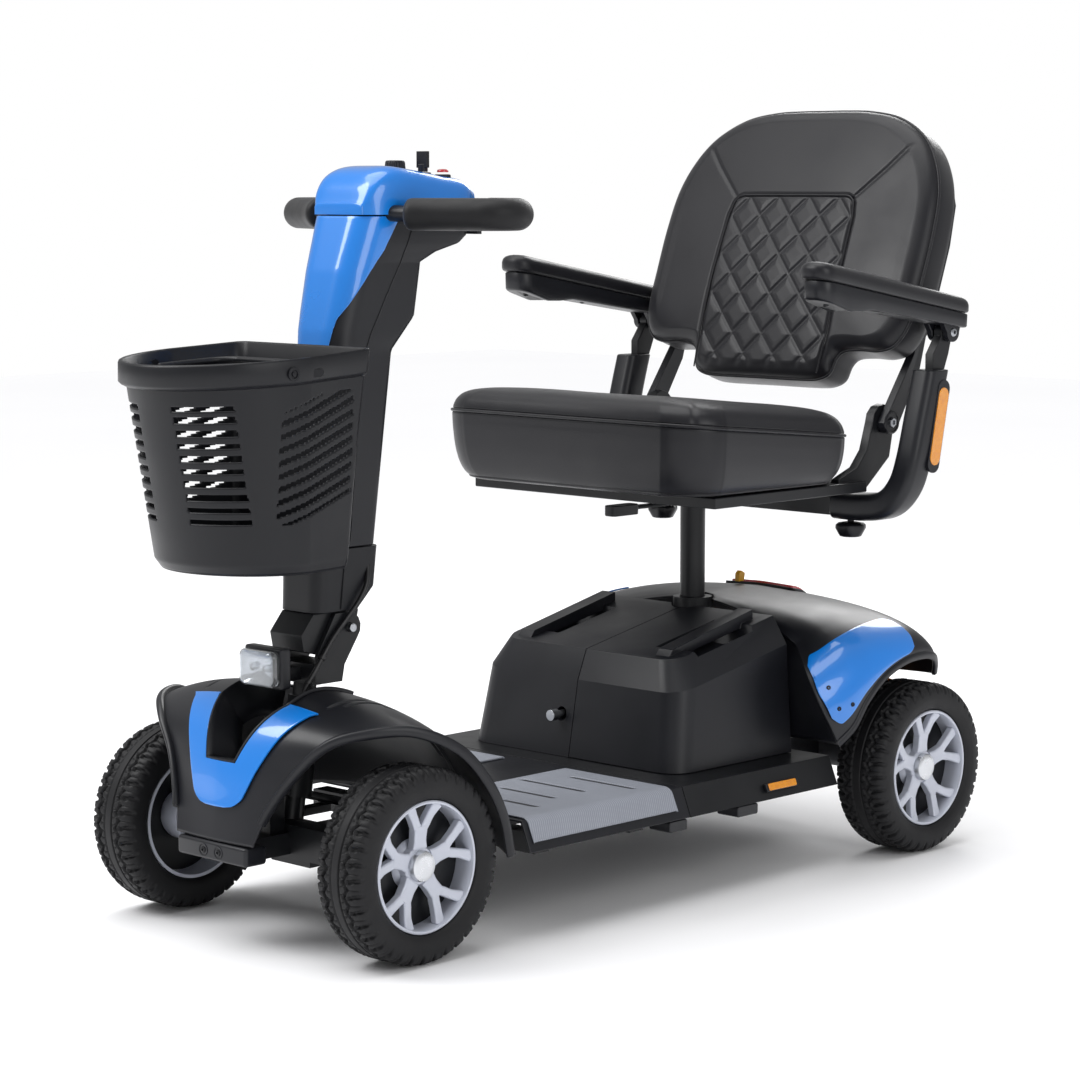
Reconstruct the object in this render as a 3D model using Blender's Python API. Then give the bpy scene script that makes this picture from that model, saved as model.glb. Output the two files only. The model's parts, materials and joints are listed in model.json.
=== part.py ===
"""Four-wheel mobility scooter, in metres. +Z is up, the front faces -Y and the rider's left is +X.

The origin lies on the ground under the middle of the bounding box. Front pieces are placed from
the front axle with front_y(), and everything from the battery packs back from the rear axle with
rear_y(), so that a longer wheelbase stretches only the deck.
"""

from math import cos, pi, radians, sin

import bmesh
import bpy
import numpy as np
from mathutils import Vector

# Driving sizes
WHEELBASE = 0.8865
FRONT_TYRE_RADIUS = 0.115
FRONT_TYRE_WIDTH = 0.074
FRONT_TRACK = 0.411
REAR_TYRE_RADIUS = 0.1145
REAR_TYRE_WIDTH = 0.080
REAR_TRACK = 0.505
RIM_RADIUS = 0.079
BASKET_REACH = 0.2165  # from the front axle forward to the basket's rim
DECK_TOP = 0.145
DECK_HALF_WIDTH = 0.235
SKIRT_FLARE = 0.015
SKIRT_BOTTOM = 0.108
SKIN = 0.003  # moulded wall
MAT_THICKNESS = 0.0025
GAP = 0.0006  # between pieces that rest on each other
TRIM_LIFT = 0.0016  # between thin trim and the curved skin under it
RUNNING_GAP = 0.0015  # between a turning piece and what holds it
STEERING_TILT = radians(8.0)
TILLER_TILT = radians(6.2)
TILLER_BOW = ((0.388, 0.0), (0.462, -0.005), (0.600, -0.009), (0.720, -0.007), (0.790, 0.003), (0.857, 0.018))
KINGPIN_X = 0.1555
STEERING_ARM = 0.050
PIVOT = (0.0655, 0.366)  # tiller pivot, from the front axle and up
STEM_RADIUS = 0.014
POST_RADIUS = 0.017
POST_WALL = 0.0065
POST_Y = -0.1565  # from the rear axle
SEAT_HALF_WIDTH = 0.235
SEAT_BOTTOM = 0.500
SEAT_THICKNESS = 0.106
SEAT_SLOPE = 0.095
SEAT_FRONT = -0.420
SEAT_REAR = -0.038
PAN_THICKNESS = 0.014
BRACKET_X = 0.192  # inner face of the plates that carry the back
BACK_TILT = radians(20.5)
BACK_THICKNESS = 0.072
BACK_HALF_WIDTH = 0.237
BACK_HINGE = (-0.004, 0.576)  # from the rear axle and up
BACK_FOOT = (-0.034, 0.634)  # lower edge of the front face, from the rear axle and up
BACK_HEIGHT = 0.391  # along the recline
ARMREST_INNER_X = 0.2425
ARMREST_WIDTH = 0.050
ARM_PIVOT = (0.046, 0.697)
ARM_FOOT_Y, ARM_FOOT_Z = -0.027, 0.4625
CROSS_TUBE_END = 0.2145
KNOB_X = 0.170
PACK_HALF_WIDTH = 0.188
PACK_FRONT = -0.402
PACK_REAR = -0.170
PACK_TOP_FRONT = 0.286
PACK_SLOPE = 0.20
COVER_BULGE = 0.030
BASKET_HALF_WIDTH = 0.130
BASKET_TOP = 0.691
BASKET_BOTTOM = 0.448
BASKET_WALL = 0.003
BASKET_RIM_SLOPE = 0.055
CONSOLE_SEAM = 0.857
HORN_TRAVEL = 0.002
GRIP_RADIUS = 0.0195
GRIP_Z = 0.8575
THROTTLE_PIVOT = 0.245  # from the front axle

BACK_REACH = BACK_FOOT[0] + BACK_HEIGHT * sin(BACK_TILT) + (BACK_THICKNESS - SKIN) * cos(BACK_TILT)
FRONT_AXLE_Y = BASKET_REACH - (BASKET_REACH + WHEELBASE + BACK_REACH) / 2
REAR_AXLE_Y = FRONT_AXLE_Y + WHEELBASE
SIDES = {"left": 1, "right": -1}
WHEEL_SIDES = 28

# Materials: colour, roughness, metallic
MATERIALS = {
    "black_plastic": ((0.016, 0.018, 0.023), 0.45, 0.0),
    "blue_gloss": ((0.0, 0.20, 0.72), 0.15, 0.0),
    "grey_mat": ((0.27, 0.29, 0.33), 0.70, 0.0),
    "black_steel": ((0.012, 0.012, 0.014), 0.40, 0.6),
    "bright_steel": ((0.55, 0.56, 0.58), 0.30, 1.0),
    "silver_paint": ((0.42, 0.45, 0.53), 0.35, 0.5),
    "tyre_rubber": ((0.010, 0.010, 0.011), 0.80, 0.0),
    "black_vinyl": ((0.024, 0.023, 0.028), 0.50, 0.0),
    "black_foam": ((0.012, 0.012, 0.013), 0.85, 0.0),
    "red_lens": ((0.70, 0.03, 0.04), 0.15, 0.0),
    "clear_lens": ((0.80, 0.82, 0.85), 0.05, 0.0),
    "yellow_plastic": ((0.80, 0.55, 0.01), 0.40, 0.0),
    "cast_aluminium": ((0.30, 0.30, 0.31), 0.50, 0.9),
}


def front_y(offset):
    return FRONT_AXLE_Y + offset


def rear_y(offset):
    return REAR_AXLE_Y + offset


def clear_scene():
    for obj in list(bpy.data.objects):
        bpy.data.objects.remove(obj, do_unlink=True)


def material(name):
    found = bpy.data.materials.get(name)
    if found:
        return found
    colour, roughness, metallic = MATERIALS[name]
    made = bpy.data.materials.new(name)
    made.use_nodes = True
    shader = made.node_tree.nodes["Principled BSDF"]
    shader.inputs["Base Color"].default_value = (*colour, 1.0)
    shader.inputs["Roughness"].default_value = roughness
    shader.inputs["Metallic"].default_value = metallic
    return made


def object_of(name, points, faces, paint="black_plastic", smooth_angle=35):
    """A mesh object with outward normals, shaded smooth below smooth_angle degrees."""
    mesh = bpy.data.meshes.new(name)
    mesh.from_pydata([tuple(map(float, p)) for p in points], [], [tuple(map(int, f)) for f in faces])
    work = bmesh.new()
    work.from_mesh(mesh)
    bmesh.ops.remove_doubles(work, verts=work.verts, dist=1e-6)
    bmesh.ops.recalc_face_normals(work, faces=work.faces)
    work.to_mesh(mesh)
    work.free()
    mesh.shade_smooth()
    mesh.set_sharp_from_angle(angle=radians(smooth_angle))
    mesh.materials.append(material(paint))
    made = bpy.data.objects.new(name, mesh)
    bpy.context.scene.collection.objects.link(made)
    return made


def prism(name, outline, along, low, high, paint="black_plastic"):
    """An outline in the plane square to the axis `along`, extruded from low to high.

    Outline pairs are (y, z) along X, (x, z) along Y and (x, y) along Z.
    """
    place = {"X": lambda a, b, t: (t, a, b), "Y": lambda a, b, t: (a, t, b), "Z": lambda a, b, t: (a, b, t)}[along]
    count = len(outline)
    points = [place(a, b, low) for a, b in outline] + [place(a, b, high) for a, b in outline]
    faces = [list(range(count)), list(range(count, 2 * count))]
    faces += [(i, (i + 1) % count, count + (i + 1) % count, count + i) for i in range(count)]
    return object_of(name, points, faces, paint)


def box(name, x, y, z, paint="black_plastic"):
    return prism(name, [(x[0], y[0]), (x[1], y[0]), (x[1], y[1]), (x[0], y[1])], "Z", z[0], z[1], paint)


def rod(name, start, end, radius, paint="black_steel", sides=20, end_radius=None):
    """A cylinder, or a cone frustum where end_radius differs, between two points."""
    start, end = Vector(start), Vector(end)
    axis = (end - start).normalized()
    across = axis.orthogonal().normalized()
    other = axis.cross(across)
    rings = ((start, radius), (end, radius if end_radius is None else end_radius))
    points = []
    for centre, size in rings:
        for i in range(sides):
            turn = 2 * pi * i / sides
            points.append(centre + size * (cos(turn) * across + sin(turn) * other))
    faces = [list(range(sides)), list(range(sides, 2 * sides))]
    faces += [(i, (i + 1) % sides, sides + (i + 1) % sides, sides + i) for i in range(sides)]
    return object_of(name, points, faces, paint)


def turned(name, profile, centre, paint, sides=WHEEL_SIDES):
    """A closed profile of (x, radius) pairs turned about the X direction through centre."""
    points, faces = [], []
    count = len(profile)
    for i in range(sides):
        turn = 2 * pi * i / sides
        for x, radius in profile:
            points.append((centre[0] + x, centre[1] + radius * cos(turn), centre[2] + radius * sin(turn)))
    for i in range(sides):
        for j in range(count):
            a, b = i * count + j, i * count + (j + 1) % count
            c, d = ((i + 1) % sides) * count + (j + 1) % count, ((i + 1) % sides) * count + j
            faces.append((a, b, c, d))
    return object_of(name, points, faces, paint)


def tube(name, route, radius, paint, sides=10):
    """A round bar swept along a route of points, with flat ends."""
    route = [Vector(p) for p in route]
    points, faces = [], []
    side = None
    for i, centre in enumerate(route):
        ahead = route[min(i + 1, len(route) - 1)] - route[max(i - 1, 0)]
        ahead.normalize()
        side = ahead.orthogonal() if side is None else side - side.dot(ahead) * ahead
        side.normalize()
        other = ahead.cross(side)
        for k in range(sides):
            turn = 2 * pi * k / sides
            points.append(centre + radius * (cos(turn) * side + sin(turn) * other))
    for i in range(len(route) - 1):
        for k in range(sides):
            n = (k + 1) % sides
            faces.append((i * sides + k, i * sides + n, (i + 1) * sides + n, (i + 1) * sides + k))
    faces += [list(range(sides)), list(range((len(route) - 1) * sides, len(route) * sides))]
    return object_of(name, points, faces, paint)


def loft(name, rings, paint="black_plastic"):
    """Rings of equal length joined in order and capped."""
    count = len(rings[0])
    points = [p for ring in rings for p in ring]
    faces = []
    for i in range(len(rings) - 1):
        for k in range(count):
            n = (k + 1) % count
            faces.append((i * count + k, i * count + n, (i + 1) * count + n, (i + 1) * count + k))
    faces += [list(range(count)), list(range((len(rings) - 1) * count, len(rings) * count))]
    return object_of(name, points, faces, paint)


def thick_sheet(name, grid, mask, low, high, paint="black_plastic"):
    """A closed sheet on the masked cells of a grid of points, between two offsets along its normals."""
    rows, columns = grid.shape[:2]
    along = np.gradient(grid, axis=0)
    across = np.gradient(grid, axis=1)
    normal = np.cross(across, along)
    normal /= np.linalg.norm(normal, axis=2, keepdims=True)
    if normal[..., 2].sum() < 0:
        normal = -normal
    points = np.concatenate([(grid + normal * high).reshape(-1, 3), (grid + normal * low).reshape(-1, 3)])
    under = rows * columns
    faces, edges = [], {}
    for i in range(rows - 1):
        for j in range(columns - 1):
            if not mask[i][j]:
                continue
            ring = [i * columns + j, i * columns + j + 1, (i + 1) * columns + j + 1, (i + 1) * columns + j]
            faces.append(ring)
            faces.append([under + k for k in reversed(ring)])
            for k in range(4):
                edge = (ring[k], ring[(k + 1) % 4])
                if edge[::-1] in edges:
                    del edges[edge[::-1]]
                else:
                    edges[edge] = True
    faces += [(b, a, under + a, under + b) for a, b in edges]
    used = sorted({k for face in faces for k in face})
    where = {k: i for i, k in enumerate(used)}
    return object_of(name, points[used], [[where[k] for k in face] for face in faces], paint)


def combine(target, tools, operation="UNION"):
    """Applies each tool to target with an exact Boolean and removes the tool."""
    for tool in tools:
        step = target.modifiers.new(operation, "BOOLEAN")
        step.operation = operation
        step.object = tool
        step.solver = "EXACT"
        graph = bpy.context.evaluated_depsgraph_get()
        mesh = bpy.data.meshes.new_from_object(target.evaluated_get(graph))
        target.modifiers.clear()
        target.data = mesh
        bpy.data.objects.remove(tool, do_unlink=True)
    target.data.name = target.name
    return target


def cut(target, *tools):
    return combine(target, tools, "DIFFERENCE")


def join(target, *tools):
    return combine(target, tools, "UNION")


def arc(centre, radius, start, end, steps):
    """Points of an arc in degrees, as pairs."""
    turns = [radians(start + (end - start) * i / steps) for i in range(steps + 1)]
    return [(centre[0] + radius * cos(t), centre[1] + radius * sin(t)) for t in turns]


def rounded_box(name, x, y, z, radius, paint="black_plastic", steps=3):
    corners = ((x[1], y[1], 0), (x[0], y[1], 90), (x[0], y[0], 180), (x[1], y[0], 270))
    outline = []
    for cx, cy, start in corners:
        inset = (cx - radius if cx == x[1] else cx + radius, cy - radius if cy == y[1] else cy + radius)
        outline += arc(inset, radius, start, start + 90, steps)
    return prism(name, outline, "Z", z[0], z[1], paint)


def spread(stations, count):
    """Rows of station values resampled with a Catmull-Rom curve to count rows."""
    stations = np.array(stations, float)
    padded = np.vstack([2 * stations[0] - stations[1], stations, 2 * stations[-1] - stations[-2]])
    rows = []
    for t in np.linspace(0, len(stations) - 1, count):
        i = min(int(t), len(stations) - 2)
        f = t - i
        a, b, c, d = padded[i:i + 4]
        rows.append(0.5 * (2 * b + (c - a) * f
                           + (2 * a - 5 * b + 4 * c - d) * f**2 + (3 * b - a - 3 * c + d) * f**3))
    return np.array(rows)


# Front cowl. Each station holds the centre line's offset and height, then the edge's x, offset and height.
COWL_STATIONS = (
    (-0.1205, 0.130, 0.068, -0.1185, 0.131),
    (-0.1135, 0.172, 0.083, -0.1055, 0.172),
    (-0.1055, 0.222, 0.112, -0.0885, 0.217),
    (-0.0855, 0.262, 0.150, -0.0725, 0.254),
    (-0.0535, 0.288, 0.188, -0.0415, 0.268),
    (-0.0085, 0.301, 0.215, 0.0065, 0.267),
    (0.0465, 0.290, 0.235, 0.0565, 0.242),
    (0.0965, 0.258, 0.242, 0.0945, 0.200),
    (0.1375, 0.210, 0.244, 0.1185, 0.155),
    (0.1545, 0.152, 0.244, 0.1300, 0.108),
)
COWL_DROP = 2.6
NOTCH_START, NOTCH_END = 2.0, 6.0  # stations between which the steering recess is open


def cowl_point(x, row):
    """A point of the cowl's outer surface at x on one resampled station row."""
    yc, zc, xe, ye, ze = row
    u = min(abs(x) / xe, 1.0)
    return (x, front_y(yc + (ye - yc) * u**1.5), zc - (zc - ze) * u**COWL_DROP)


def notch_half_width(station):
    return 0.025 + 0.036 * min(max((station - NOTCH_START) / 2.0, 0.0), 1.0)


def front_cowl():
    rows = 19
    stations = np.linspace(0, len(COWL_STATIONS) - 1, rows)
    values = spread(COWL_STATIONS, rows)
    shares = np.array((0.0, 0.28, 0.52, 0.72, 0.88, 1.0))
    grid = []
    for station, row in zip(stations, values):
        inner = notch_half_width(station)
        xs = inner + (row[2] - inner) * shares
        grid.append([cowl_point(x, row) for x in (*-xs[::-1], *xs)])
    mask = np.ones((rows - 1, 2 * len(shares) - 1), bool)
    middle = len(shares) - 1
    for i in range(rows - 1):
        if NOTCH_START <= stations[i] + 0.01 and stations[i + 1] <= NOTCH_END + 0.01:
            mask[i, middle] = False
    thick_sheet("front_cowl", np.array(grid), mask, -SKIN, 0.0)


def v_panel():
    """The V-shaped trim on the cowl's nose: one foot that splits into two arms."""
    rows = 10
    first, last = 0.95, 4.1
    stations = np.linspace(first, last, rows)
    values = spread(COWL_STATIONS, 271)
    grid = []
    for station in stations:
        row = values[int(round(station / (len(COWL_STATIONS) - 1) * 270))]
        rise = (station - first) / (last - first)
        outer = 0.036 + 0.074 * rise
        inner = notch_half_width(station) + 0.001
        xs = [inner, (inner + outer) / 2, outer]
        grid.append([cowl_point(x, row) for x in (*[-x for x in xs[::-1]], *xs)])
    mask = np.ones((rows - 1, 5), bool)
    for i in range(rows - 1):
        if stations[i] >= NOTCH_START - 0.03:
            mask[i, 2] = False
    thick_sheet("v_panel", np.array(grid), mask, TRIM_LIFT, TRIM_LIFT + 0.0022, "blue_gloss")


def front_frame():
    axle = box("front_frame", (-KINGPIN_X + 0.0145, KINGPIN_X - 0.0145), (front_y(-0.018), front_y(0.018)),
               (0.095, 0.135), "black_steel")
    nose = box("nose", (-0.020, 0.020), (front_y(-0.089), front_y(0.0)), (0.100, 0.126))
    spine = box("spine", (-0.035, 0.035), (front_y(0.0), seam_y() - GAP), (0.082, 0.117))
    strut = box("strut", (-0.012, 0.012), (front_y(-0.042), front_y(-0.019)), (0.12, 0.20))
    web = box("web", (-0.012, 0.012), (front_y(-0.030), front_y(-0.009)), (0.170, 0.200))
    outriggers = [box("outrigger", (-0.20, 0.20), (y, y + 0.025), (0.090, 0.115))
                  for y in (front_y(0.215), front_y(0.385))]
    head = rod("head", steering_point(0.165), steering_point(0.265), 0.021)
    bore = rod("bore", steering_point(0.150), steering_point(0.280), STEM_RADIUS + RUNNING_GAP)
    join(axle, nose, spine, strut, web, *outriggers, head)
    cut(axle, bore)


def steering_point(z):
    """The point of the steering axis at height z. The axis crosses the front axle's centre."""
    return (0.0, front_y((z - FRONT_TYRE_RADIUS) * sin(STEERING_TILT) / cos(STEERING_TILT)), z)


def seam_y():
    """Where the front and rear halves of the chassis meet."""
    return rear_y(-0.4425)


def tray_outline(top):
    """Cross-section of the deck's skin, as (x, z) pairs."""
    half, foot = DECK_HALF_WIDTH, DECK_HALF_WIDTH + SKIRT_FLARE
    outer = [(-foot, SKIRT_BOTTOM), (-half, top), (half, top), (foot, SKIRT_BOTTOM)]
    inner = [(foot - SKIN, SKIRT_BOTTOM), (half - SKIN, top - SKIN), (-half + SKIN, top - SKIN),
             (-foot + SKIN, SKIRT_BOTTOM)]
    return outer + inner


def deck():
    prism("deck", tray_outline(DECK_TOP), "Y", front_y(0.157), seam_y() - GAP)


def floor_mats():
    half, foot = DECK_HALF_WIDTH + GAP, DECK_HALF_WIDTH + SKIRT_FLARE + GAP
    top, thick = DECK_TOP + GAP, MAT_THICKNESS
    low = SKIRT_BOTTOM + 0.012
    reach = foot - SKIRT_FLARE * (low - SKIRT_BOTTOM) / (DECK_TOP - SKIRT_BOTTOM)
    outline = [(0.055, top), (half, top), (reach, low), (reach + thick, low), (half + thick, top + thick),
               (0.055, top + thick)]
    for side, sign in SIDES.items():
        prism(f"floor_mat_{side}", [(sign * x, z) for x, z in outline], "Y", front_y(0.165),
              seam_y() - 0.022, "grey_mat")


def bumper():
    rounded_box("bumper", (-0.0625, 0.0625), (front_y(-0.1235), front_y(-0.0895)), (0.106, 0.1285), 0.005)


def rear_frame():
    tray = prism("rear_frame", tray_outline(DECK_TOP), "Y", seam_y(), rear_y(-0.150))
    spine = box("spine", (-0.035, 0.035), (seam_y(), rear_y(-0.070)), (0.082, DECK_TOP - 0.001))
    arms = [box("arm", sorted((s * 0.090, s * 0.115)), (rear_y(-0.190), rear_y(-0.022)),
                (0.100, DECK_TOP - 0.001))
            for s in (1, -1)]
    cross = box("cross", (-0.115, 0.115), (rear_y(-0.095), rear_y(-0.070)), (0.105, DECK_TOP - 0.002))
    outer = POST_RADIUS + POST_WALL
    socket = rod("socket", (0, rear_y(POST_Y), 0.100), (0, rear_y(POST_Y), 0.326), outer)
    collar = rod("collar", (0, rear_y(POST_Y), 0.322), (0, rear_y(POST_Y), 0.336), outer + 0.003)
    bore = rod("bore", (0, rear_y(POST_Y), 0.190), (0, rear_y(POST_Y), 0.350), POST_RADIUS + GAP)
    join(tray, spine, *arms, cross, socket, collar)
    cut(tray, bore)


def post_notch(name):
    """The round clearance around the seat post's socket, as a cutter."""
    radius = POST_RADIUS + POST_WALL + 0.0055
    return rod(name, (0, rear_y(POST_Y), DECK_TOP - 0.005), (0, rear_y(POST_Y), 0.40), radius, sides=24)


def pack_ring(sign, half, front, radius, height, inner=GAP / 2):
    """One ring of a battery pack, rounded at its front outer corner. height is a function of y."""
    rear = rear_y(PACK_REAR)
    front = rear_y(front)
    corner = arc((half - radius, front + radius), radius, -90, 0, 5)
    outline = [(inner, rear), (inner, front), *corner, (half, rear)]
    return [(sign * x, y, height(y)) for x, y in outline]


def pack_top(y):
    return PACK_TOP_FRONT + PACK_SLOPE * (y - rear_y(PACK_FRONT + 0.034))


def battery_packs():
    for side, sign in SIDES.items():
        rings = [
            pack_ring(sign, PACK_HALF_WIDTH, PACK_FRONT, 0.034, lambda y: DECK_TOP + GAP),
            pack_ring(sign, PACK_HALF_WIDTH - 0.010, PACK_FRONT + 0.018, 0.034, lambda y: pack_top(y) - 0.036),
            pack_ring(sign, PACK_HALF_WIDTH - 0.034, PACK_FRONT + 0.034, 0.028, pack_top),
        ]
        pack = loft(f"battery_pack_{side}", rings)
        front, rear = rear_y(-0.335), rear_y(-0.205)
        x_low, x_high = sorted((sign * 0.088, sign * 0.158))
        scoop_outline = [(front, pack_top(front) + 0.02), (front + 0.02, pack_top(front) - 0.030),
                         (rear - 0.02, pack_top(rear) - 0.030), (rear, pack_top(rear) + 0.02)]
        scoop = prism("scoop", scoop_outline, "X", x_low, x_high)
        ends = (rear_y(-0.362), rear_y(-0.190))
        bar_outline = [(ends[0], pack_top(ends[0]) - 0.006), (ends[1], pack_top(ends[1]) - 0.006),
                       (ends[1], pack_top(ends[1]) + 0.012), (ends[0] + 0.012, pack_top(ends[0]) + 0.010)]
        bar = prism("bar", bar_outline, "X", *sorted((sign * 0.112, sign * 0.136)))
        cut(pack, scoop, post_notch("notch"))
        join(pack, bar)
        if side == "right":
            cut(pack, rod("pin_hole", (-0.022, rear_y(-0.42), 0.200), (-0.022, rear_y(-0.372), 0.200), 0.0095))


def lock_pin():
    at = rear_y(-0.3735)
    pin = rod("lock_pin", (-0.022, at, 0.200), (-0.022, at - 0.038, 0.200), 0.005, "bright_steel", 16)
    join(pin, rod("head", (-0.022, at - 0.028, 0.200), (-0.022, at - 0.040, 0.200), 0.0075, sides=16))


# Rear cover: each station holds the centre line, a shoulder that pulls the section out, and the arch's lip.
COVER_STATIONS = (
    (-0.146, 0.336, 0.270, -0.172, 0.312, 0.262, -0.165, 0.165),
    (-0.128, 0.338, 0.288, -0.168, 0.318, 0.270, -0.142, 0.186),
    (-0.105, 0.339, 0.297, -0.140, 0.326, 0.274, -0.120, 0.218),
    (-0.070, 0.340, 0.298, -0.096, 0.330, 0.276, -0.085, 0.247),
    (-0.030, 0.339, 0.293, -0.040, 0.330, 0.276, -0.040, 0.263),
    (0.006, 0.331, 0.286, 0.004, 0.328, 0.274, 0.000, 0.266),
    (0.030, 0.310, 0.280, 0.030, 0.306, 0.270, 0.028, 0.261),
    (0.046, 0.275, 0.268, 0.048, 0.272, 0.262, 0.044, 0.250),
    (0.052, 0.225, 0.255, 0.056, 0.235, 0.255, 0.052, 0.234),
)


def cover_bulge(share, station):
    """How far the cover's front edge swells forward beside the battery packs."""
    return COVER_BULGE * sin(pi * min(max((share - 0.45) / 0.55, 0), 1)) * max(0, 1 - station / 3)


def cover_grid(first, last, rows, shares):
    """Points of the rear cover's outer surface: a quadratic curve from centre over shoulder to lip."""
    total = 8 * 30
    values = spread(COVER_STATIONS, total + 1)
    grid = []
    for station in np.linspace(first, last, rows):
        yc, zc, xs, ys, zs, xe, ye, ze = values[int(round(station * 30))]
        line = []
        for share in shares:
            u = abs(share)
            a, b, c = (1 - u) ** 2, 2 * u * (1 - u), u * u
            x = b * xs + c * xe
            y = a * yc + b * ys + c * ye - cover_bulge(u, station)
            line.append((x if share > 0 else -x, rear_y(y), a * zc + b * zs + c * ze))
        grid.append(line)
    return np.array(grid)


def rear_cover():
    shares = (0.0, 0.22, 0.40, 0.55, 0.70, 0.85, 1.0)
    shares = (*[-s for s in shares[:0:-1]], *shares)
    rows = 17
    sheet = thick_sheet("rear_cover", cover_grid(0, 8, rows, shares),
                        np.ones((rows - 1, len(shares) - 1), bool), -SKIN, 0.0)
    cut(sheet, post_notch("notch"))


def rear_trim():
    for side, sign in SIDES.items():
        shares = [sign * s for s in (0.55, 0.645, 0.74, 0.835, 0.93)]
        grid = cover_grid(0.15, 4.4, 11, shares)
        thick_sheet(f"fender_insert_{side}", grid, np.ones((10, 4), bool), TRIM_LIFT, TRIM_LIFT + 0.0022,
                    "blue_gloss")
    shares = np.linspace(-0.10, 0.10, 5)
    thick_sheet("tail_light", cover_grid(4.5, 5.4, 4, shares), np.ones((3, 4), bool),
                TRIM_LIFT, 0.006, "red_lens")


def freewheel_lever():
    y = rear_y(-0.034)
    outline = [(y - 0.006, 0.3425), (y + 0.006, 0.3425), (y + 0.008, 0.354), (y, 0.358), (y - 0.005, 0.354)]
    prism("freewheel_lever", outline, "X", -0.024, -0.016, "yellow_plastic")


def transaxle():
    axle_end = REAR_TRACK / 2 - 0.0635
    body = rod("transaxle", (-axle_end, rear_y(0), REAR_TYRE_RADIUS), (axle_end, rear_y(0), REAR_TYRE_RADIUS),
               0.018, "cast_aluminium")
    gearbox = rod("gearbox", (-0.032, rear_y(0), REAR_TYRE_RADIUS), (0.045, rear_y(0), REAR_TYRE_RADIUS), 0.048,
                  sides=24)
    motor = rod("motor", (-0.118, rear_y(0.022), 0.128), (-0.028, rear_y(0.022), 0.128), 0.036, sides=24)
    join(body, gearbox, motor)


def wheels():
    layout = {
        "front": (FRONT_TRACK, FRONT_TYRE_RADIUS, FRONT_TYRE_WIDTH, front_y(0)),
        "rear": (REAR_TRACK, REAR_TYRE_RADIUS, REAR_TYRE_WIDTH, rear_y(0)),
    }
    for place, (track, radius, width, y) in layout.items():
        for side, sign in SIDES.items():
            centre = (sign * track / 2, y, radius)
            tyre(f"tyre_{place}_{side}", centre, radius, width)
            rim(f"rim_{place}_{side}", centre, width, sign)


def tyre(name, centre, radius, width):
    half = width / 2
    seat = RIM_RADIUS - 0.0010
    side = [(half * 0.80, seat), (half * 0.98, seat + 0.010), (half, radius - 0.021),
            (half * 0.90, radius - 0.006),
            (half * 0.62, radius)]
    profile = [(-x, r) for x, r in side] + side[::-1]
    turned(name, profile, centre, "tyre_rubber")


def rim(name, centre, width, sign):
    """A dished wheel: barrel under the tyre, outer flange, web set back from the outer face, and hub."""
    half = width / 2 * 0.78
    seat = RIM_RADIUS - 0.0010 - GAP
    face = width / 2 - 0.004
    profile = [(-half, seat), (half, seat), (face, seat - 0.001), (face, seat - 0.007),
               (half - 0.014, seat - 0.010),
               (half - 0.022, 0.030), (face - 0.018, 0.020), (face - 0.018, 0.0), (-half + 0.013, 0.0),
               (-half + 0.013, 0.022), (half - 0.034, 0.030), (half - 0.028, seat - 0.010), (-half, seat - 0.006)]
    turned_rim(name, [(sign * x, r) for x, r in profile], centre)


def turned_rim(name, profile, centre, sides=WHEEL_SIDES):
    """As turned(), for a profile that runs down to the axis, where its points are shared."""
    made = turned(name, [(x, max(r, 0.0)) for x, r in profile], centre, "silver_paint", sides)
    work = bmesh.new()
    work.from_mesh(made.data)
    bmesh.ops.remove_doubles(work, verts=work.verts, dist=1e-5)
    bmesh.ops.dissolve_degenerate(work, dist=1e-6, edges=work.edges)
    loose = [e for e in work.edges if not e.link_faces]
    bmesh.ops.delete(work, geom=loose, context="EDGES")
    bmesh.ops.recalc_face_normals(work, faces=work.faces)
    work.to_mesh(made.data)
    work.free()


def knuckles():
    stub_end = FRONT_TRACK / 2 - FRONT_TYRE_WIDTH / 2 * 0.78 + 0.013 - 0.0006
    for side, sign in SIDES.items():
        x = sign * KINGPIN_X
        barrel = rod(f"knuckle_{side}", (x, front_y(0), 0.083), (x, front_y(0), 0.148), 0.013, "black_steel")
        stub = rod("stub", (x, front_y(0), FRONT_TYRE_RADIUS),
                   (sign * stub_end, front_y(0), FRONT_TYRE_RADIUS), 0.011)
        arm = box("arm", sorted((x - 0.008, x + 0.008)), (front_y(0), front_y(STEERING_ARM + 0.008)),
                  (0.140, 0.148))
        join(barrel, stub, arm)


def track_rod():
    y, z = front_y(STEERING_ARM), 0.156
    rod("track_rod", (-KINGPIN_X - 0.006, y, z), (KINGPIN_X + 0.006, y, z), 0.0055, "black_steel", 12)


def hinge_plate_outline():
    py, pz = front_y(PIVOT[0]), PIVOT[1]
    back = arc((py, pz), 0.0185, -45, 90, 5)
    return [(py - 0.055, 0.302), (py - 0.012, 0.302), (py - 0.008, 0.322), *back, (py - 0.022, 0.3845),
            (py - 0.050, 0.340)]


def steering_stem():
    stem = rod("steering_stem", steering_point(0.138), steering_point(0.312), STEM_RADIUS, "black_steel")
    pitman = box("pitman", (-0.009, 0.009), (front_y(0.0), front_y(STEERING_ARM + 0.008)), (0.139, 0.148))
    nut = rod("nut", steering_point(0.268), steering_point(0.284), 0.019, sides=6)
    base = front_y(PIVOT[0])
    block = box("block", (-0.036, 0.036), (base - 0.055, base - 0.012), (0.302, 0.326))
    plates = [prism("plate", hinge_plate_outline(), "X", *sorted((s * 0.0302, s * 0.036))) for s in (1, -1)]
    lamp_arm = box("lamp_arm", (-0.010, 0.010), (base - 0.0894, base - 0.050), (0.306, 0.322))
    join(stem, pitman, nut, block, *plates, lamp_arm)
    cut(stem, pivot_bolt("bore", GAP))


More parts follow.
